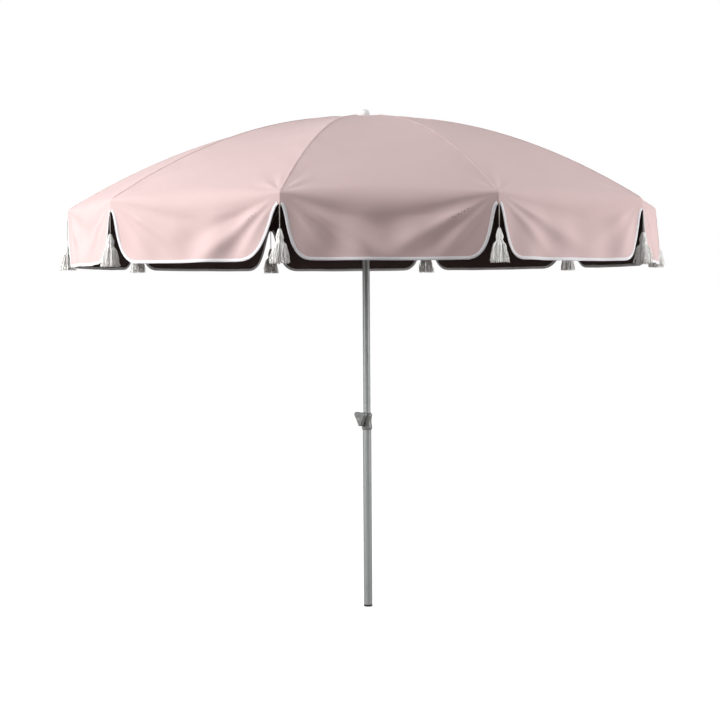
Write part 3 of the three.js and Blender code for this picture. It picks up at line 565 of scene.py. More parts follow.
WRINKLES = {}
wrinkle_dice = np.random.default_rng(20)
for gore in range(SPOKES):
    WRINKLES[gore] = {
        "lean": wrinkle_dice.uniform(0.42, 0.66, 2),
        "low": wrinkle_dice.uniform(0.85, 1.15, 2),
        "deep": wrinkle_dice.uniform(0.008, 0.013, 2),
        "fine": wrinkle_dice.uniform(0.002, 0.0045, 4),
        "phase": wrinkle_dice.uniform(0, math.tau, 4),
        "swing": wrinkle_dice.uniform(-0.008, 0.008),
    }
WRINKLES[7]["lean"] = np.array((0.55, 0.5))
WRINKLES[7]["deep"] = np.array((0.012, 0.014))


def flap_folds(gore, share, reach):
    """How far the hanging flap stands out from its plain place: slack folds from both corners."""
    facts = WRINKLES[gore]
    width = 2 * TIP_RADIUS * math.sin(math.pi / SPOKES)
    down = np.maximum(reach - TIP_RADIUS, 0)
    grown_in = np.clip(down / 0.09, 0, 1) ** 1.5
    edge = np.clip(np.minimum(share, 1 - share) / 0.07, 0, 1)
    out = np.zeros_like(share + reach)
    for side, along in enumerate((share, 1 - share)):
        across = along * width + 0.004
        slope = np.arctan2(down, across)
        for fold, (lean, depth, spread) in enumerate((
            (facts["lean"][side], facts["deep"][side], 0.10),
            (facts["lean"][side] + 0.33 * facts["low"][side], 0.7 * facts["deep"][side], 0.12),
            (facts["lean"][side] - 0.24, -0.6 * facts["deep"][side], 0.09),
        )):
            fade = np.clip(across / 0.16, 0, 1) * np.exp(-(np.maximum(across - 0.33, 0) / 0.16) ** 2)
            out += depth * np.exp(-((slope - lean) / spread) ** 2) * fade
    for wave, (height, phase) in enumerate(zip(facts["fine"], facts["phase"])):
        out += height * np.sin(math.tau * share * (wave + 1.5) + phase) * np.clip(down / 0.22, 0, 1)
    sag = facts["swing"] * (down / FLAP_DROP) * np.sin(math.pi * share)
    return out * grown_in * edge + sag


def panel_folds(gore, share, reach):
    """Faint puckers that run in from the rib tips and along the seams."""
    facts = WRINKLES[gore]
    middle = np.sin(math.pi * share)
    out = np.zeros_like(share + reach)
    for side, along in enumerate((share, 1 - share)):
        away = along * 0.618 * np.maximum(reach, 0.05)
        near = np.exp(-(away / 0.11) ** 2) * np.clip(away / 0.02, 0, 1)
        pucker = np.sin(38 * reach + facts["phase"][side] + 2 * along)
        out += 0.0011 * near * pucker * np.clip(reach / 0.25, 0, 1)
        gap = np.hypot(away, TIP_RADIUS - np.minimum(reach, TIP_RADIUS)) + 0.002
        turn = np.arctan2(np.maximum(TIP_RADIUS - reach, 0), away + 0.001)
        tip = np.exp(-(gap / 0.13) ** 2) * np.clip(gap / 0.05, 0, 1) * np.clip(away / 0.03, 0, 1)
        out += 0.0028 * tip * np.sin(9 * turn + facts["phase"][side + 2])
    return out * np.clip(middle * 6, 0, 1) * np.clip((TIP_RADIUS - reach) / 0.05, 0, 1)


def plain_cloth(gore, share, reach):
    """Points of the smooth sheet of one gore, from rib to rib and from crown to hem."""
    radius, height = cloth_section(share, reach)
    inward = np.minimum(reach, TIP_RADIUS) / TIP_RADIUS
    sag = GORE_SAG * np.sin(math.pi * inward) ** 2 * (1 - (1 - 2 * share) ** 2)
    way = (1 - share)[..., None] * rib_way(gore) + share[..., None] * rib_way(gore + 1)
    points = radius[..., None] * way
    points[..., 2] = height - sag
    return points


def facing(sheet, gore, share, reach):
    """The outward normal of a sheet, from its own slopes."""
    step = 0.0004
    low, high = np.clip(share - step, 0, 1), np.clip(share + step, 0, 1)
    across = sheet(gore, high, reach) - sheet(gore, low, reach)
    along = sheet(gore, share, reach + step) - sheet(gore, share, reach - step)
    normal = np.cross(along, across)
    return normal / np.linalg.norm(normal, axis=-1, keepdims=True)


def hung_cloth(gore, share, reach):
    """Points of one gore as it hangs, with its folds."""
    fold = flap_folds(gore, share, reach) + panel_folds(gore, share, reach)
    return plain_cloth(gore, share, reach) + fold[..., None] * facing(plain_cloth, gore, share, reach)


def cloth_piece(name, points, normals, uv):
    """A closed thin sheet from a grid of points: pink outside, near-black painted shade inside, with true normals."""
    rows, columns = points.shape[:2]
    outer = (points + normals * CLOTH / 2).reshape(-1, 3)
    inner = (points - normals * CLOTH / 2).reshape(-1, 3)
    count = rows * columns
    index = np.arange(count).reshape(rows, columns)
    a, b, c, d = (part.ravel() for part in (index[:-1, :-1], index[1:, :-1], index[1:, 1:], index[:-1, 1:]))
    quads = np.stack((a, b, c, d), 1)
    rim = np.concatenate((index[0, :], index[1:, -1], index[-1, -2::-1], index[-2:0:-1, 0]))
    after = np.roll(rim, -1)
    wall = np.stack((rim, after, after + count, rim + count), 1)
    faces = np.concatenate((quads, quads[:, ::-1] + count, wall))
    mesh = bpy.data.meshes.new(name)
    mesh.from_pydata(np.concatenate((outer, inner)).tolist(), [], faces.tolist())
    mesh.materials.append(pink_outside)
    # The inner faces take the near-black cloth, painted shade.
    mesh.materials.append(painted_shade_back)
    where = np.zeros(len(faces), np.int32)
    where[len(quads):2 * len(quads)] = 1
    mesh.polygons.foreach_set("material_index", where)
    mesh.polygons.foreach_set("use_smooth", np.ones(len(faces), bool))
    layer = mesh.uv_layers.new(name="cut")
    corner = np.empty(len(mesh.loops), np.int32)
    mesh.loops.foreach_get("vertex_index", corner)
    flat = np.concatenate((uv.reshape(-1, 2), uv.reshape(-1, 2)))
    layer.data.foreach_set("uv", flat[corner].ravel())
    both = np.concatenate((normals.reshape(-1, 3), -normals.reshape(-1, 3)))
    mesh.normals_split_custom_set(both[corner].tolist())
    return linked(name, mesh)


half_steps = np.array((0, 0.006, 0.014, 0.026, 0.045, 0.07, 0.1, 0.14, 0.19, 0.25, 0.32, 0.4,
                       0.48, 0.56, 0.64, 0.72, 0.8, 0.87, 0.93, 0.97, 1.0)) / 2
rows_down = np.concatenate((np.linspace(PANEL_START, 0.9, 34)[:-1], np.linspace(0.9, 1.2, 18)[:-1],
                            np.linspace(1.2, TIP_RADIUS, 22)))
panel_piece = {}
for rib, name in enumerate(spoke_names):
    before = (rib - 1) % SPOKES
    share_here, reach_here = np.meshgrid(half_steps, rows_down)
    later = hung_cloth(rib, share_here, reach_here)
    later_facing = facing(hung_cloth, rib, share_here, reach_here)
    earlier = hung_cloth(before, 1 - share_here, reach_here)[:, ::-1]
    earlier_facing = facing(hung_cloth, before, 1 - share_here, reach_here)[:, ::-1]
    seam_facing = later_facing[:, :1] + earlier_facing[:, -1:]
    seam_facing /= np.linalg.norm(seam_facing, axis=-1, keepdims=True)
    points = np.concatenate((earlier[:, :-1], later), axis=1)
    normals = np.concatenate((earlier_facing[:, :-1], seam_facing, later_facing[:, 1:]), axis=1)
    width_here = np.concatenate((-half_steps[:0:-1], half_steps)) * 0.618
    uv_grid = np.broadcast_arrays(width_here * rows_down[:, None], rows_down[:, None] + 0 * width_here)
    uv = np.stack(uv_grid, -1)
    panel = cloth_piece("canopy_panel_" + name, points, normals, uv)
    azimuth = spoke_azimuth[name]
    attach(panel, "rib_" + name)
    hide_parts("canopy")
    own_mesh(panel)
    panel_piece[name] = panel


# Each gore runs on over the rim as a hanging flap 253 mm deep. The slits
# between the flaps widen downwards, and the lower corners are rounded off.
SLIT_DROPS = (
    0, 0.047, 0.0475, 0.05, 0.056, 0.066, 0.085, 0.12,
    0.155, 0.185, 0.205, 0.222, 0.236, 0.246, 0.251, 0.253,
)
SLIT_HALVES = (
    0, 0, 0.004, 0.0085, 0.0125, 0.017, 0.023, 0.032,
    0.042, 0.053, 0.063, 0.075, 0.09, 0.108, 0.124, 0.14,
)
slit_dice = np.random.default_rng(5)
SLIT_SWING = slit_dice.uniform(0.8, 1.15, (SPOKES, 2))
SLIT_SWING[6] = (1.0, 1.25)
SLIT_SWING[7] = (0.8, 0.85)
SLIT_SWING[8] = (0.75, 1.05)
CHORD = 2 * math.sin(math.pi / SPOKES)


def flap_edge(gore, side, down):
    """The share of the gore's width that the slit takes off one side of its flap."""
    half = np.interp(down, SLIT_DROPS, SLIT_HALVES) * SLIT_SWING[gore][side]
    return half / (CHORD * TIP_RADIUS)


def hem_drop(gore, share):
    """How deep the flap hangs, a little deeper in its middle."""
    return FLAP_DROP - 0.006 * np.abs(2 * share - 1) ** 2


flap_rows = np.concatenate((np.linspace(0, 0.047, 10)[:-1], np.linspace(0.047, 0.06, 7)[:-1],
                            np.linspace(0.06, 0.2, 14)[:-1], np.linspace(0.2, FLAP_DROP, 16)))
flap_columns = np.linspace(0, 1, 73)
flap_piece = {}
for gore, name in enumerate(spoke_names):
    left = flap_edge(gore, 0, flap_rows)[:, None]
    right = flap_edge(gore, 1, flap_rows)[:, None]
    share = left + (1 - left - right) * flap_columns
    depth = flap_rows[:, None] * hem_drop(gore, share) / FLAP_DROP
    reach = TIP_RADIUS + depth
    points = hung_cloth(gore, share, reach)
    normals = facing(hung_cloth, gore, share, reach)
    uv = np.stack((share * CHORD * TIP_RADIUS, TIP_RADIUS + depth), -1)
    flap = cloth_piece("canopy_flap_" + name, points, normals, uv)
    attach(flap, "hem_" + name)
    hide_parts("canopy")
    flap_piece[name] = flap


def shut_flap(piece):
    """Gives the piece its own copy of its mesh."""
    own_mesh(piece)


# White bias binding, 11 mm wide, is folded over the raw edge of every flap:
# down one slit, round the corner, along the hem and up the next slit.
BINDING_WIDTH = 0.011
BINDING_SECTION = (
    (0.011, 0.0010), (0.0106, 0.0014), (0.0030, 0.0019), (0.0004, 0.0017), (-0.0009, 0.0010),
    (-0.0013, 0.0), (-0.0009, -0.0010), (0.0004, -0.0017), (0.0030, -0.0019), (0.0106, -0.0014),
    (0.011, -0.0010), (0.0015, -0.0004), (0.0015, 0.0004),
)
white_binding = woven("white binding", (0.86, 0.84, 0.86), (0.78, 0.76, 0.79), 0.8, 4200.0, 0.3, 0.1)


def flap_outline(gore):
    """Shares and reaches along the flap's bound edge, and the way into the cloth at each."""
    downs = np.concatenate((np.linspace(0.0475, 0.062, 9)[:-1], np.linspace(0.062, 0.19, 12)[:-1],
                            np.linspace(0.19, 0.246, 14)[:-1], np.array((0.246, 0.249, 0.2515, FLAP_DROP))))
    left = flap_edge(gore, 0, downs)
    right = 1 - flap_edge(gore, 1, downs)
    bottom = np.linspace(left[-1], right[-1], 60)[1:-1]
    share = np.concatenate((left, bottom, right[::-1]))
    plain_down = np.concatenate((downs, np.full(len(bottom), FLAP_DROP), downs[::-1]))
    down = plain_down * hem_drop(gore, share) / FLAP_DROP
    return share, TIP_RADIUS + down


def swept_binding(name, gore):
    """The folded binding, swept along the edge of one flap."""
    share, reach = flap_outline(gore)
    points = hung_cloth(gore, share, reach)
    normals = facing(hung_cloth, gore, share, reach)
    ahead_way = np.gradient(points, axis=0)
    ahead_way /= np.linalg.norm(ahead_way, axis=1, keepdims=True)
    inward = np.cross(normals, ahead_way)
    inward /= np.linalg.norm(inward, axis=1, keepdims=True)
    centre = points.mean(axis=0)
    if ((centre - points) * inward).sum() < 0:
        inward = -inward
    rings = np.stack([points + inward * a + normals * b for a, b in BINDING_SECTION], 1)
    count, sides = rings.shape[:2]
    index = np.arange(count * sides).reshape(count, sides)
    following = np.roll(index, -1, axis=1)
    faces = np.stack((index[:-1], index[1:], following[1:], following[:-1]), -1).reshape(-1, 4).tolist()
    faces += [index[0].tolist(), index[-1][::-1].tolist()]
    mesh = bpy.data.meshes.new(name)
    mesh.from_pydata(rings.reshape(-1, 3).tolist(), [], faces)
    mesh.materials.append(white_binding)
    mesh.polygons.foreach_set("use_smooth", np.ones(len(faces), bool))
    layer = mesh.uv_layers.new(name="cut")
    corner = np.empty(len(mesh.loops), np.int32)
    mesh.loops.foreach_get("vertex_index", corner)
    run = np.concatenate(((0,), np.cumsum(np.linalg.norm(np.diff(points, axis=0), axis=1))))
    flat_grid = np.broadcast_arrays(run[:, None], np.linspace(0, 2 * BINDING_WIDTH, sides)[None])
    flat = np.stack(flat_grid, -1).reshape(-1, 2)
    layer.data.foreach_set("uv", flat[corner].ravel())
    piece = linked(name, mesh)
    return piece, points, normals, inward


def turned_out(piece):
    """Faces all turned outwards."""
    work = bmesh.new()
    work.from_mesh(piece.data)
    bmesh.ops.recalc_face_normals(work, faces=work.faces)
    work.to_mesh(piece.data)
    work.free()


STITCH_PITCH = 0.0042
thread_white = cotton("white thread", (0.9, 0.89, 0.9), (0.7, 0.69, 0.7), 1500.0, 0.3)
thread_pink = cotton("pink thread", (0.66, 0.5, 0.5), (0.5, 0.37, 0.37), 1500.0, 0.3)

stitch_tree, stitch_in, stitch_out = node_tree("row of stitches", (
    ("Pitch", "Float", STITCH_PITCH),
    ("Length", "Float", 0.0029),
    ("Thickness", "Float", 0.0007),
    ("Material", "Material", None),
))
stitch_line = put(stitch_tree, "GeometryNodeMeshToCurve", {0: stitch_in.outputs["Geometry"]})
stitch_even = put(stitch_tree, "GeometryNodeResampleCurve", {
    "Curve": stitch_line.outputs[0], "Length": stitch_in.outputs["Pitch"]}, mode="LENGTH")
stitch_spots = put(stitch_tree, "GeometryNodeCurveToPoints", {"Curve": stitch_even.outputs[0]}, mode="EVALUATED")
stitch_bead = put(stitch_tree, "GeometryNodeMeshUVSphere", {"Segments": 5, "Rings": 4, "Radius": 0.5})
stitch_size = put(stitch_tree, "ShaderNodeCombineXYZ", {
    0: stitch_in.outputs["Thickness"], 1: stitch_in.outputs["Thickness"], 2: stitch_in.outputs["Length"]})
stitch_copies = put(stitch_tree, "GeometryNodeInstanceOnPoints", {
    "Points": stitch_spots.outputs["Points"], "Instance": stitch_bead.outputs[0],
    "Rotation": stitch_spots.outputs["Rotation"], "Scale": stitch_size.outputs[0]})
stitch_real = put(stitch_tree, "GeometryNodeRealizeInstances", {0: stitch_copies.outputs[0]})
stitch_smooth = put(stitch_tree, "GeometryNodeSetShadeSmooth", {"Geometry": stitch_real.outputs[0]})
stitch_done = put(stitch_tree, "GeometryNodeSetMaterial", {
    "Geometry": stitch_smooth.outputs[0], "Material": stitch_in.outputs["Material"]})
stitch_tree.links.new(stitch_done.outputs[0], stitch_out.inputs[0])

for gore, name in enumerate(spoke_names):
    binding, edge_points, edge_normals, edge_inward = swept_binding("binding_" + name, gore)
    turned_out(binding)
    seam_path = edge_points + edge_inward * 0.0088 + edge_normals * 0.00165
    stitches = grown("binding_stitches_" + name, stitch_tree, {
        "Pitch": STITCH_PITCH, "Material": thread_white}, seam_path[3:-3].tolist())
    for piece, finish in ((binding, "white_binding"), (stitches, "white_binding")):
        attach(piece, "hem_" + name)
        shut_flap(piece)
    shut_flap(flap_piece[name])


# The gores are joined along every rib by a flat-felled seam, 9 mm wide, with
# two rows of pink stitches. It stands half a millimetre proud of the cloth.
SEAM_HALF = 0.0046
SEAM_PROUD = 0.0009


def seam_line(rib, reach):
    """Points and outward normals along the cloth over a rib."""
    at_rib = np.zeros_like(reach)
    points = hung_cloth(rib, at_rib, reach)
    later = facing(hung_cloth, rib, at_rib, reach)
    earlier = facing(hung_cloth, (rib - 1) % SPOKES, at_rib + 1, reach)
    normals = later + earlier
    return points, normals / np.linalg.norm(normals, axis=1, keepdims=True)


def seam_strip(name, rib):
    """The raised strip of the folded seam, and the two lines its stitches follow."""
    reach = np.concatenate((np.linspace(0.05, 1.2, 40)[:-1], np.linspace(1.2, TIP_RADIUS - 0.008, 14)))
    points, normals = seam_line(rib, reach)
    azimuth = spoke_azimuth[name]
    across = np.array((-math.sin(azimuth), math.cos(azimuth), 0.0))
    slump = math.tan(math.pi / SPOKES) * 0.32
    section = ((-SEAM_HALF, -0.0002), (-SEAM_HALF, SEAM_PROUD * 0.6), (-SEAM_HALF * 0.8, SEAM_PROUD),
               (0, SEAM_PROUD + 0.0004), (SEAM_HALF * 0.8, SEAM_PROUD), (SEAM_HALF, SEAM_PROUD * 0.6),
               (SEAM_HALF, -0.0002))
    rings = np.stack([
        points + across * side + normals * (lift + CLOTH / 2 - abs(side) * slump) for side, lift in section
    ], 1)
    count, sides = rings.shape[:2]
    index = np.arange(count * sides).reshape(count, sides)
    following = np.roll(index, -1, axis=1)
    faces = np.stack((index[:-1], following[:-1], following[1:], index[1:]), -1).reshape(-1, 4).tolist()
    faces += [index[0][::-1].tolist(), index[-1].tolist()]
    mesh = bpy.data.meshes.new("seam_" + name)
    mesh.from_pydata(rings.reshape(-1, 3).tolist(), [], faces)
    mesh.materials.append(pink_outside)
    layer = mesh.uv_layers.new(name="cut")
    corner = np.empty(len(mesh.loops), np.int32)
    mesh.loops.foreach_get("vertex_index", corner)
    flat_grid = np.broadcast_arrays(np.array([s[0] for s in section])[None], reach[:, None])
    flat = np.stack(flat_grid, -1).reshape(-1, 2)
    layer.data.foreach_set("uv", flat[corner].ravel())
    piece = linked("seam_" + name, mesh)
    turned_out(piece)
    mesh.polygons.foreach_set("use_smooth", np.ones(len(faces), bool))
    rows = [points + across * side + normals * (CLOTH / 2 + SEAM_PROUD - 0.0001) for side in (-0.0034, 0.0034)]
    return piece, rows


for rib, name in enumerate(spoke_names):
    seam, stitch_rows = seam_strip(name, rib)
    seam_pieces = [seam]
    for number, row in enumerate(stitch_rows):
        seam_pieces.append(grown(f"seam_stitches_{name}_{number}", stitch_tree, {
            "Pitch": 0.006, "Length": 0.0038, "Material": thread_pink}, row[1:-1].tolist()))
    for piece in seam_pieces:
        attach(piece, "rib_" + name)


# A round patch of the same cloth closes the crown over the ends of the gores.
# Its edge is turned under and stitched, and the finial is screwed through it.
PATCH_RADIUS = 0.064
PATCH_HOLE = 0.0085
PATCH_LIFT = 0.0012


def turned_piece(name, profile, sides, material, close_ring=False, centre=(0, 0)):
    """A shape turned about an upright axis from a list of radius and height."""
    turns = [math.tau * side / sides for side in range(sides)]
    ring = np.array([[math.cos(turn), math.sin(turn)] for turn in turns])
    points = []
    for radius, height in profile:
        for x, y in ring * radius:
            points.append((x + centre[0], y + centre[1], height))
    count = len(profile)
    faces = []
    for step in range(count if close_ring else count - 1):
        after = (step + 1) % count
        for side in range(sides):
            beside = (side + 1) % sides
            here, there = step * sides, after * sides
            faces.append((here + side, here + beside, there + beside, there + side))
    mesh = bpy.data.meshes.new(name)
    mesh.from_pydata(points, [], faces)
    work = bmesh.new()
    work.from_mesh(mesh)
    bmesh.ops.remove_doubles(work, verts=work.verts, dist=1e-6)
    work.to_mesh(mesh)
    work.free()
    mesh.materials.append(material)
    piece = linked(name, mesh)
    turned_out(piece)
    mesh.polygons.foreach_set("use_smooth", np.ones(len(mesh.polygons), bool))
    mesh.set_sharp_from_angle(angle=math.radians(38))
    return piece


patch_reach = np.concatenate((
    np.linspace(PATCH_HOLE, PATCH_RADIUS - 0.002, 12), [PATCH_RADIUS - 0.0006, PATCH_RADIUS]))
patch_height = cloth_section(np.zeros_like(patch_reach), patch_reach)[1] + CLOTH / 2 + PATCH_LIFT
patch_profile = [(r, z + 0.0011) for r, z in zip(patch_reach[:-1], patch_height[:-1])]
patch_profile += [(PATCH_RADIUS, patch_height[-1] + 0.0004)]
patch_profile += [(r, z) for r, z in zip(patch_reach[::-1], patch_height[::-1])]
crown_patch = turned_piece("crown_patch", patch_profile, 80, pink_outside, close_ring=True)
patch_layer = crown_patch.data.uv_layers.new(name="cut")
for loop in crown_patch.data.loops:
    spot = crown_patch.data.vertices[loop.vertex_index].co
    patch_layer.data[loop.index].uv = (spot.x, spot.y)
patch_ring = [
    ((PATCH_RADIUS - 0.005) * math.cos(math.tau * step / 90), (PATCH_RADIUS - 0.005) * math.sin(math.tau * step / 90),
     float(patch_height[-3]) + 0.0012) for step in range(91)
]
patch_stitches = grown("crown_patch_stitches", stitch_tree, {
    "Pitch": 0.006, "Length": 0.0038, "Material": thread_pink}, patch_ring)
for piece in (crown_patch, patch_stitches):
    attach(piece, "upper_pole")


# The two pole tubes are drawn steel with a satin grey lacquer: 32 mm across
# above and 38 mm below, 1.2 mm in the wall, with their edges just broken.
TUBE_WALL = 0.0012
TUBE_EDGE = 0.0004

metal_grain = bpy.data.node_groups.new("metal grain", "ShaderNodeTree")
for label, kind, value in (
    ("Light", "Color", (0.5, 0.5, 0.5, 1)),
    ("Dark", "Color", (0.4, 0.4, 0.4, 1)),
    ("Roughness", "Float", 0.4),
    ("Fineness", "Float", 90.0),
):
    metal_grain.interface.new_socket(
        label, in_out="INPUT", socket_type="NodeSocket" + kind).default_value = value
metal_grain.interface.new_socket("Color", in_out="OUTPUT", socket_type="NodeSocketColor")
metal_grain.interface.new_socket("Roughness", in_out="OUTPUT", socket_type="NodeSocketFloat")
grain_in = metal_grain.nodes.new("NodeGroupInput")
grain_out = metal_grain.nodes.new("NodeGroupOutput")
grain_place = put(metal_grain, "ShaderNodeTexCoord").outputs["Object"]
grain_long = put(metal_grain, "ShaderNodeMapping", {"Vector": grain_place, "Scale": (9, 9, 0.6)})
grain_fine = put(metal_grain, "ShaderNodeTexNoise", {
    "Vector": grain_long.outputs[0], "Scale": grain_in.outputs["Fineness"], "Detail": 3.0})
grain_wide = put(metal_grain, "ShaderNodeTexNoise", {"Vector": grain_place, "Scale": 14.0, "Detail": 3.0})
grain_share = sum_of(metal_grain, "MULTIPLY_ADD", grain_fine.outputs[0], 0.45,
                     sum_of(metal_grain, "MULTIPLY", grain_wide.outputs[0], 0.55))
grain_mix = metal_grain.nodes.new("ShaderNodeMix")
grain_mix.data_type = "RGBA"
metal_grain.links.new(grain_share, grain_mix.inputs[0])
metal_grain.links.new(grain_in.outputs["Dark"], grain_mix.inputs[6])
metal_grain.links.new(grain_in.outputs["Light"], grain_mix.inputs[7])
metal_grain.links.new(grain_mix.outputs[2], grain_out.inputs["Color"])
metal_grain.links.new(sum_of(metal_grain, "MULTIPLY_ADD", grain_share, 0.16,
                             sum_of(metal_grain, "SUBTRACT", grain_in.outputs["Roughness"], 0.08)),
                      grain_out.inputs["Roughness"])


def grained(name, light, dark, roughness, metallic, fineness):
    """Metal or moulded plastic whose shade and gloss vary a little along its length."""
    material, tree, shader = shader_of(name, light, roughness, metallic)
    grain = tree.nodes.new("ShaderNodeGroup")
    grain.node_tree = metal_grain
    grain.inputs["Light"].default_value = (*light, 1)
    grain.inputs["Dark"].default_value = (*dark, 1)
    grain.inputs["Roughness"].default_value = roughness
    grain.inputs["Fineness"].default_value = fineness
    tree.links.new(grain.outputs["Color"], shader.inputs["Base Color"])
    tree.links.new(grain.outputs["Roughness"], shader.inputs["Roughness"])
    return material


pole_lacquer = grained("grey lacquered tube", (0.40, 0.42, 0.415), (0.34, 0.36, 0.355), 0.45, 0.2, 60.0)


def tube_profile(radius, low, high):
    """A tube's wall with its edges broken, as radius and height."""
    bore = radius - TUBE_WALL
    return [
        (radius, low + TUBE_EDGE), (radius, high - TUBE_EDGE), (radius - TUBE_EDGE, high), (bore + TUBE_EDGE, high),
        (bore, high - TUBE_EDGE), (bore, low + TUBE_EDGE), (bore + TUBE_EDGE, low), (radius - TUBE_EDGE, low),
    ]


for node, body, radius in (("lower_pole", "lower_pole", 0.019), ("upper_pole", "upper_pole", 0.016)):
    low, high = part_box(node)
    outline = tube_profile(radius, low[2], high[2])
    tube = turned_piece(node + "_tube", outline, 96, pole_lacquer, close_ring=True)
    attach(tube, body)
    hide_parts(node)


# The other hard parts are the ones that are bought in or pressed: their edges
# are rounded as a mould or a press leaves them, and each has its own finish.
grey_plastic = grained("grey moulded plastic", (0.27, 0.275, 0.27), (0.22, 0.225, 0.22), 0.36, 0.0, 120.0)
black_plastic = grained("dark moulded plastic", (0.035, 0.035, 0.038), (0.025, 0.025, 0.027), 0.5, 0.0, 120.0)
white_plastic = grained("white moulded plastic", (0.78, 0.78, 0.77), (0.72, 0.72, 0.71), 0.42, 0.0, 120.0)
zinc_steel = grained("zinc plated steel", (0.56, 0.57, 0.58), (0.42, 0.43, 0.44), 0.36, 0.9, 80.0)
rib_steel = grained("lacquered rib steel", (0.36, 0.36, 0.35), (0.28, 0.28, 0.27), 0.48, 0.45, 70.0)


def finished_copy(node, body, material, rounding, segments=2):
    """A copy of a solid with its edges rounded and its own finish."""
    mesh = bpy.data.objects[node].data.copy()
    mesh.name = node + "_made"
    work = bmesh.new()
    work.from_mesh(mesh)
    bmesh.ops.remove_doubles(work, verts=work.verts, dist=2e-6)
    bmesh.ops.dissolve_limit(work, angle_limit=math.radians(1.0), verts=work.verts, edges=work.edges)
    work.to_mesh(mesh)
    work.free()
    mesh.materials.clear()
    mesh.materials.append(material)
    piece = linked(node + "_made", mesh)
    rounder = piece.modifiers.new("rounded edges", "BEVEL")
    rounder.width = rounding
    rounder.segments = segments
    rounder.limit_method = "ANGLE"
    rounder.angle_limit = math.radians(34)
    rounder.use_clamp_overlap = True
    ready = bpy.context.evaluated_depsgraph_get()
    done = bpy.data.meshes.new_from_object(piece.evaluated_get(ready))
    piece.modifiers.clear()
    piece.data = done
    done.polygons.foreach_set("use_smooth", np.ones(len(done.polygons), bool))
    done.set_sharp_from_angle(angle=math.radians(36))
    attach(piece, body)
    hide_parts(node)
    return piece


HARD_PARTS = (
    ("foot_plug", "lower_pole", black_plastic, 0.0006),
    ("clamp_collar", "lower_pole", grey_plastic, 0.0010),
    ("clamp_insert", "lower_pole", zinc_steel, 0.0003),
    ("clamp_pad", "clamp_pad", white_plastic, 0.0003),
    ("clamp_screw", "clamp_knob", zinc_steel, 0.0003),
    ("guide_bush", "pole_slider", grey_plastic, 0.0004),
    ("hub", "upper_pole", grey_plastic, 0.0005),
    ("hub_ring_wire", "upper_pole", zinc_steel, 0.0002),
    ("runner_stop_pin", "upper_pole", zinc_steel, 0.0003),
    ("runner", "runner", grey_plastic, 0.0005),
    ("runner_ring_wire", "runner", zinc_steel, 0.0002),
)
for node, body, material, rounding in HARD_PARTS:
    finished_copy(node, body, material, rounding)
for name in spoke_names:
    finished_copy("rib_" + name, "rib_" + name, rib_steel, 0.0007)
    finished_copy("stretcher_" + name, "stretcher_" + name, rib_steel, 0.0003)


# The finial is a white moulded cap, 40 mm across, ringed with shallow grooves
# and domed on top. It is screwed down on the crown patch.
FINIAL_RADIUS = 0.020
FINIAL_RINGS = 5
finial_low, finial_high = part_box("finial")
finial_base = finial_low[2]
finial_side = 0.66 * (finial_high[2] - finial_base)
finial_profile = [
    (0, finial_base),
    (FINIAL_RADIUS - 0.0012, finial_base),
    (FINIAL_RADIUS - 0.0003, finial_base + 0.0006),
]
for ring in range(FINIAL_RINGS):
    foot = finial_base + finial_side * ring / FINIAL_RINGS
    high = finial_side / FINIAL_RINGS
    finial_profile += [
        (FINIAL_RADIUS, foot + high * 0.22), (FINIAL_RADIUS, foot + high * 0.66),
        (FINIAL_RADIUS - 0.0005, foot + high * 0.76), (FINIAL_RADIUS - 0.0013, foot + high * 0.84),
        (FINIAL_RADIUS - 0.0013, foot + high * 0.94), (FINIAL_RADIUS - 0.0005, foot + high * 1.04),
    ]
dome_base = finial_base + finial_side + 0.0008
for step in range(1, 15):
    turn = math.pi / 2 * step / 14
    finial_profile.append((
        max(0.0, (FINIAL_RADIUS - 0.0008) * math.cos(turn) ** 0.72),
        dome_base + (finial_high[2] - dome_base) * math.sin(turn)))
finial = turned_piece("finial_cap", finial_profile, 72, white_plastic)
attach(finial, "upper_pole")
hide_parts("finial")


# The clamp knob is a three-lobed grip of grey plastic, 63 mm across, with
# rounded edges and a round dimple over the head of its screw.
LOBE_REACH = 0.027
LOBE_RADIUS = 0.011
KNOB_NEAR = 0.031
KNOB_FAR = 0.047
KNOB_ROUNDING = 0.004
DIMPLE_RADIUS = 0.0085
screw_place = joint_place["knob_turn"]
knob_joint = next(joint for joint in frame["joints"] if joint["name"] == "knob_turn")
knob_axis = Vector(knob_joint["axis"]).normalized()
knob_side = Vector((0, 0, 1)).cross(knob_axis).normalized()


def lobed_outline(inset):
    """The rounded triangle of the grip, drawn in by a distance."""
    points = []
    for lobe in range(3):
        middle = math.pi / 6 + lobe * math.tau / 3
        centre = np.array((math.cos(middle), math.sin(middle))) * LOBE_REACH
        for step in range(17):
            turn = middle - math.pi / 3 + 2 * math.pi / 3 * step / 16
            points.append(centre + np.array((math.cos(turn), math.sin(turn))) * max(LOBE_RADIUS - inset, 0.0005))
        onward = middle + math.tau / 3
        first = points[-1]
        last = np.array((math.cos(onward), math.sin(onward))) * LOBE_REACH
        turn = onward - math.pi / 3
        last = last + np.array((math.cos(turn), math.sin(turn))) * max(LOBE_RADIUS - inset, 0.0005)
        inward = -(first + last) / np.linalg.norm(first + last)
        for step in range(1, 8):
            share = step / 8
            points.append(first + (last - first) * share + inward * 0.0016 * math.sin(math.pi * share))
    return np.array(points)


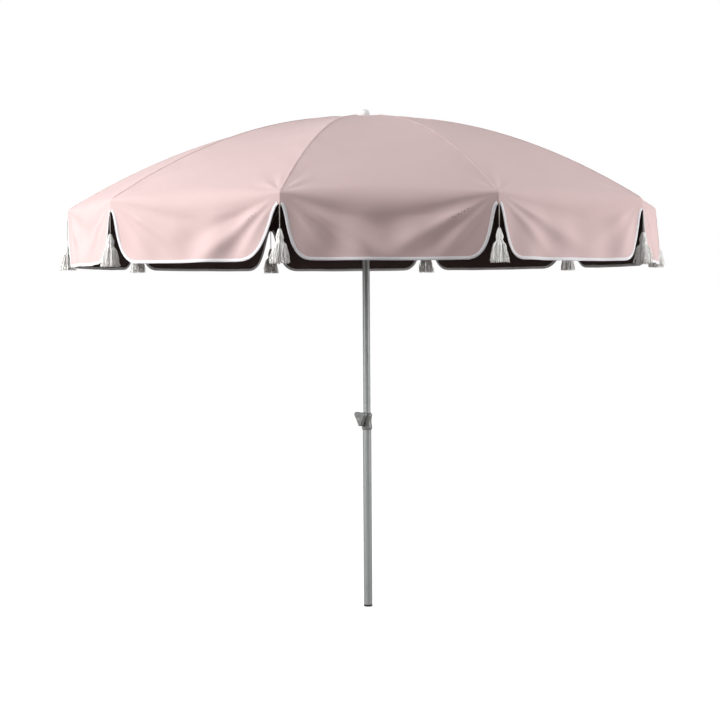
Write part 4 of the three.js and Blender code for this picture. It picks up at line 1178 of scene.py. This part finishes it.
knob_rings = []
for step in range(7):
    turn = math.pi / 2 * step / 6
    knob_rings.append((lobed_outline(KNOB_ROUNDING * 0.5 * (1 - math.sin(turn))),
                       KNOB_NEAR + KNOB_ROUNDING * 0.5 * (1 - math.cos(turn))))
for step in range(9):
    turn = math.pi / 2 * step / 8
    knob_rings.append((lobed_outline(KNOB_ROUNDING * (1 - math.cos(turn))),
                       KNOB_FAR - KNOB_ROUNDING * (1 - math.sin(turn))))
knob_count = len(knob_rings[0][0])
knob_turns = np.arctan2(knob_rings[0][0][:, 1], knob_rings[0][0][:, 0])
knob_face = knob_rings[-1][0]
knob_circle = np.stack((np.cos(knob_turns), np.sin(knob_turns)), 1)
for share, sink in ((0.35, 0.0), (0.7, 0.0001)):
    knob_rings.append((knob_face * (1 - share) + knob_circle * DIMPLE_RADIUS * 1.15 * share, KNOB_FAR + sink))
for radius, sink in ((1.0, 0.0001), (0.93, 0.0006), (0.8, 0.0013), (0.5, 0.0017), (0.05, 0.0018)):
    knob_rings.append((knob_circle * DIMPLE_RADIUS * radius, KNOB_FAR - sink))
knob_points = []
for outline, out in knob_rings:
    for across, up in outline:
        knob_points.append(tuple(knob_axis * out + knob_side * across + Vector((0, 0, screw_place[2] + up))))
knob_faces = [
    (ring * knob_count + step, ring * knob_count + (step + 1) % knob_count,
     (ring + 1) * knob_count + (step + 1) % knob_count, (ring + 1) * knob_count + step)
    for ring in range(len(knob_rings) - 1) for step in range(knob_count)
]
knob_faces.append(tuple(range(knob_count))[::-1])
knob_faces.append(tuple(range((len(knob_rings) - 1) * knob_count, len(knob_rings) * knob_count)))
knob_mesh = bpy.data.meshes.new("clamp_grip")
knob_mesh.from_pydata(knob_points, [], knob_faces)
knob_mesh.materials.append(grey_plastic)
knob = linked("clamp_grip", knob_mesh)
turned_out(knob)
knob_mesh.polygons.foreach_set("use_smooth", np.ones(len(knob_mesh.polygons), bool))
knob_mesh.set_sharp_from_angle(angle=math.radians(42))
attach(knob, "clamp_knob")
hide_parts("clamp_knob")
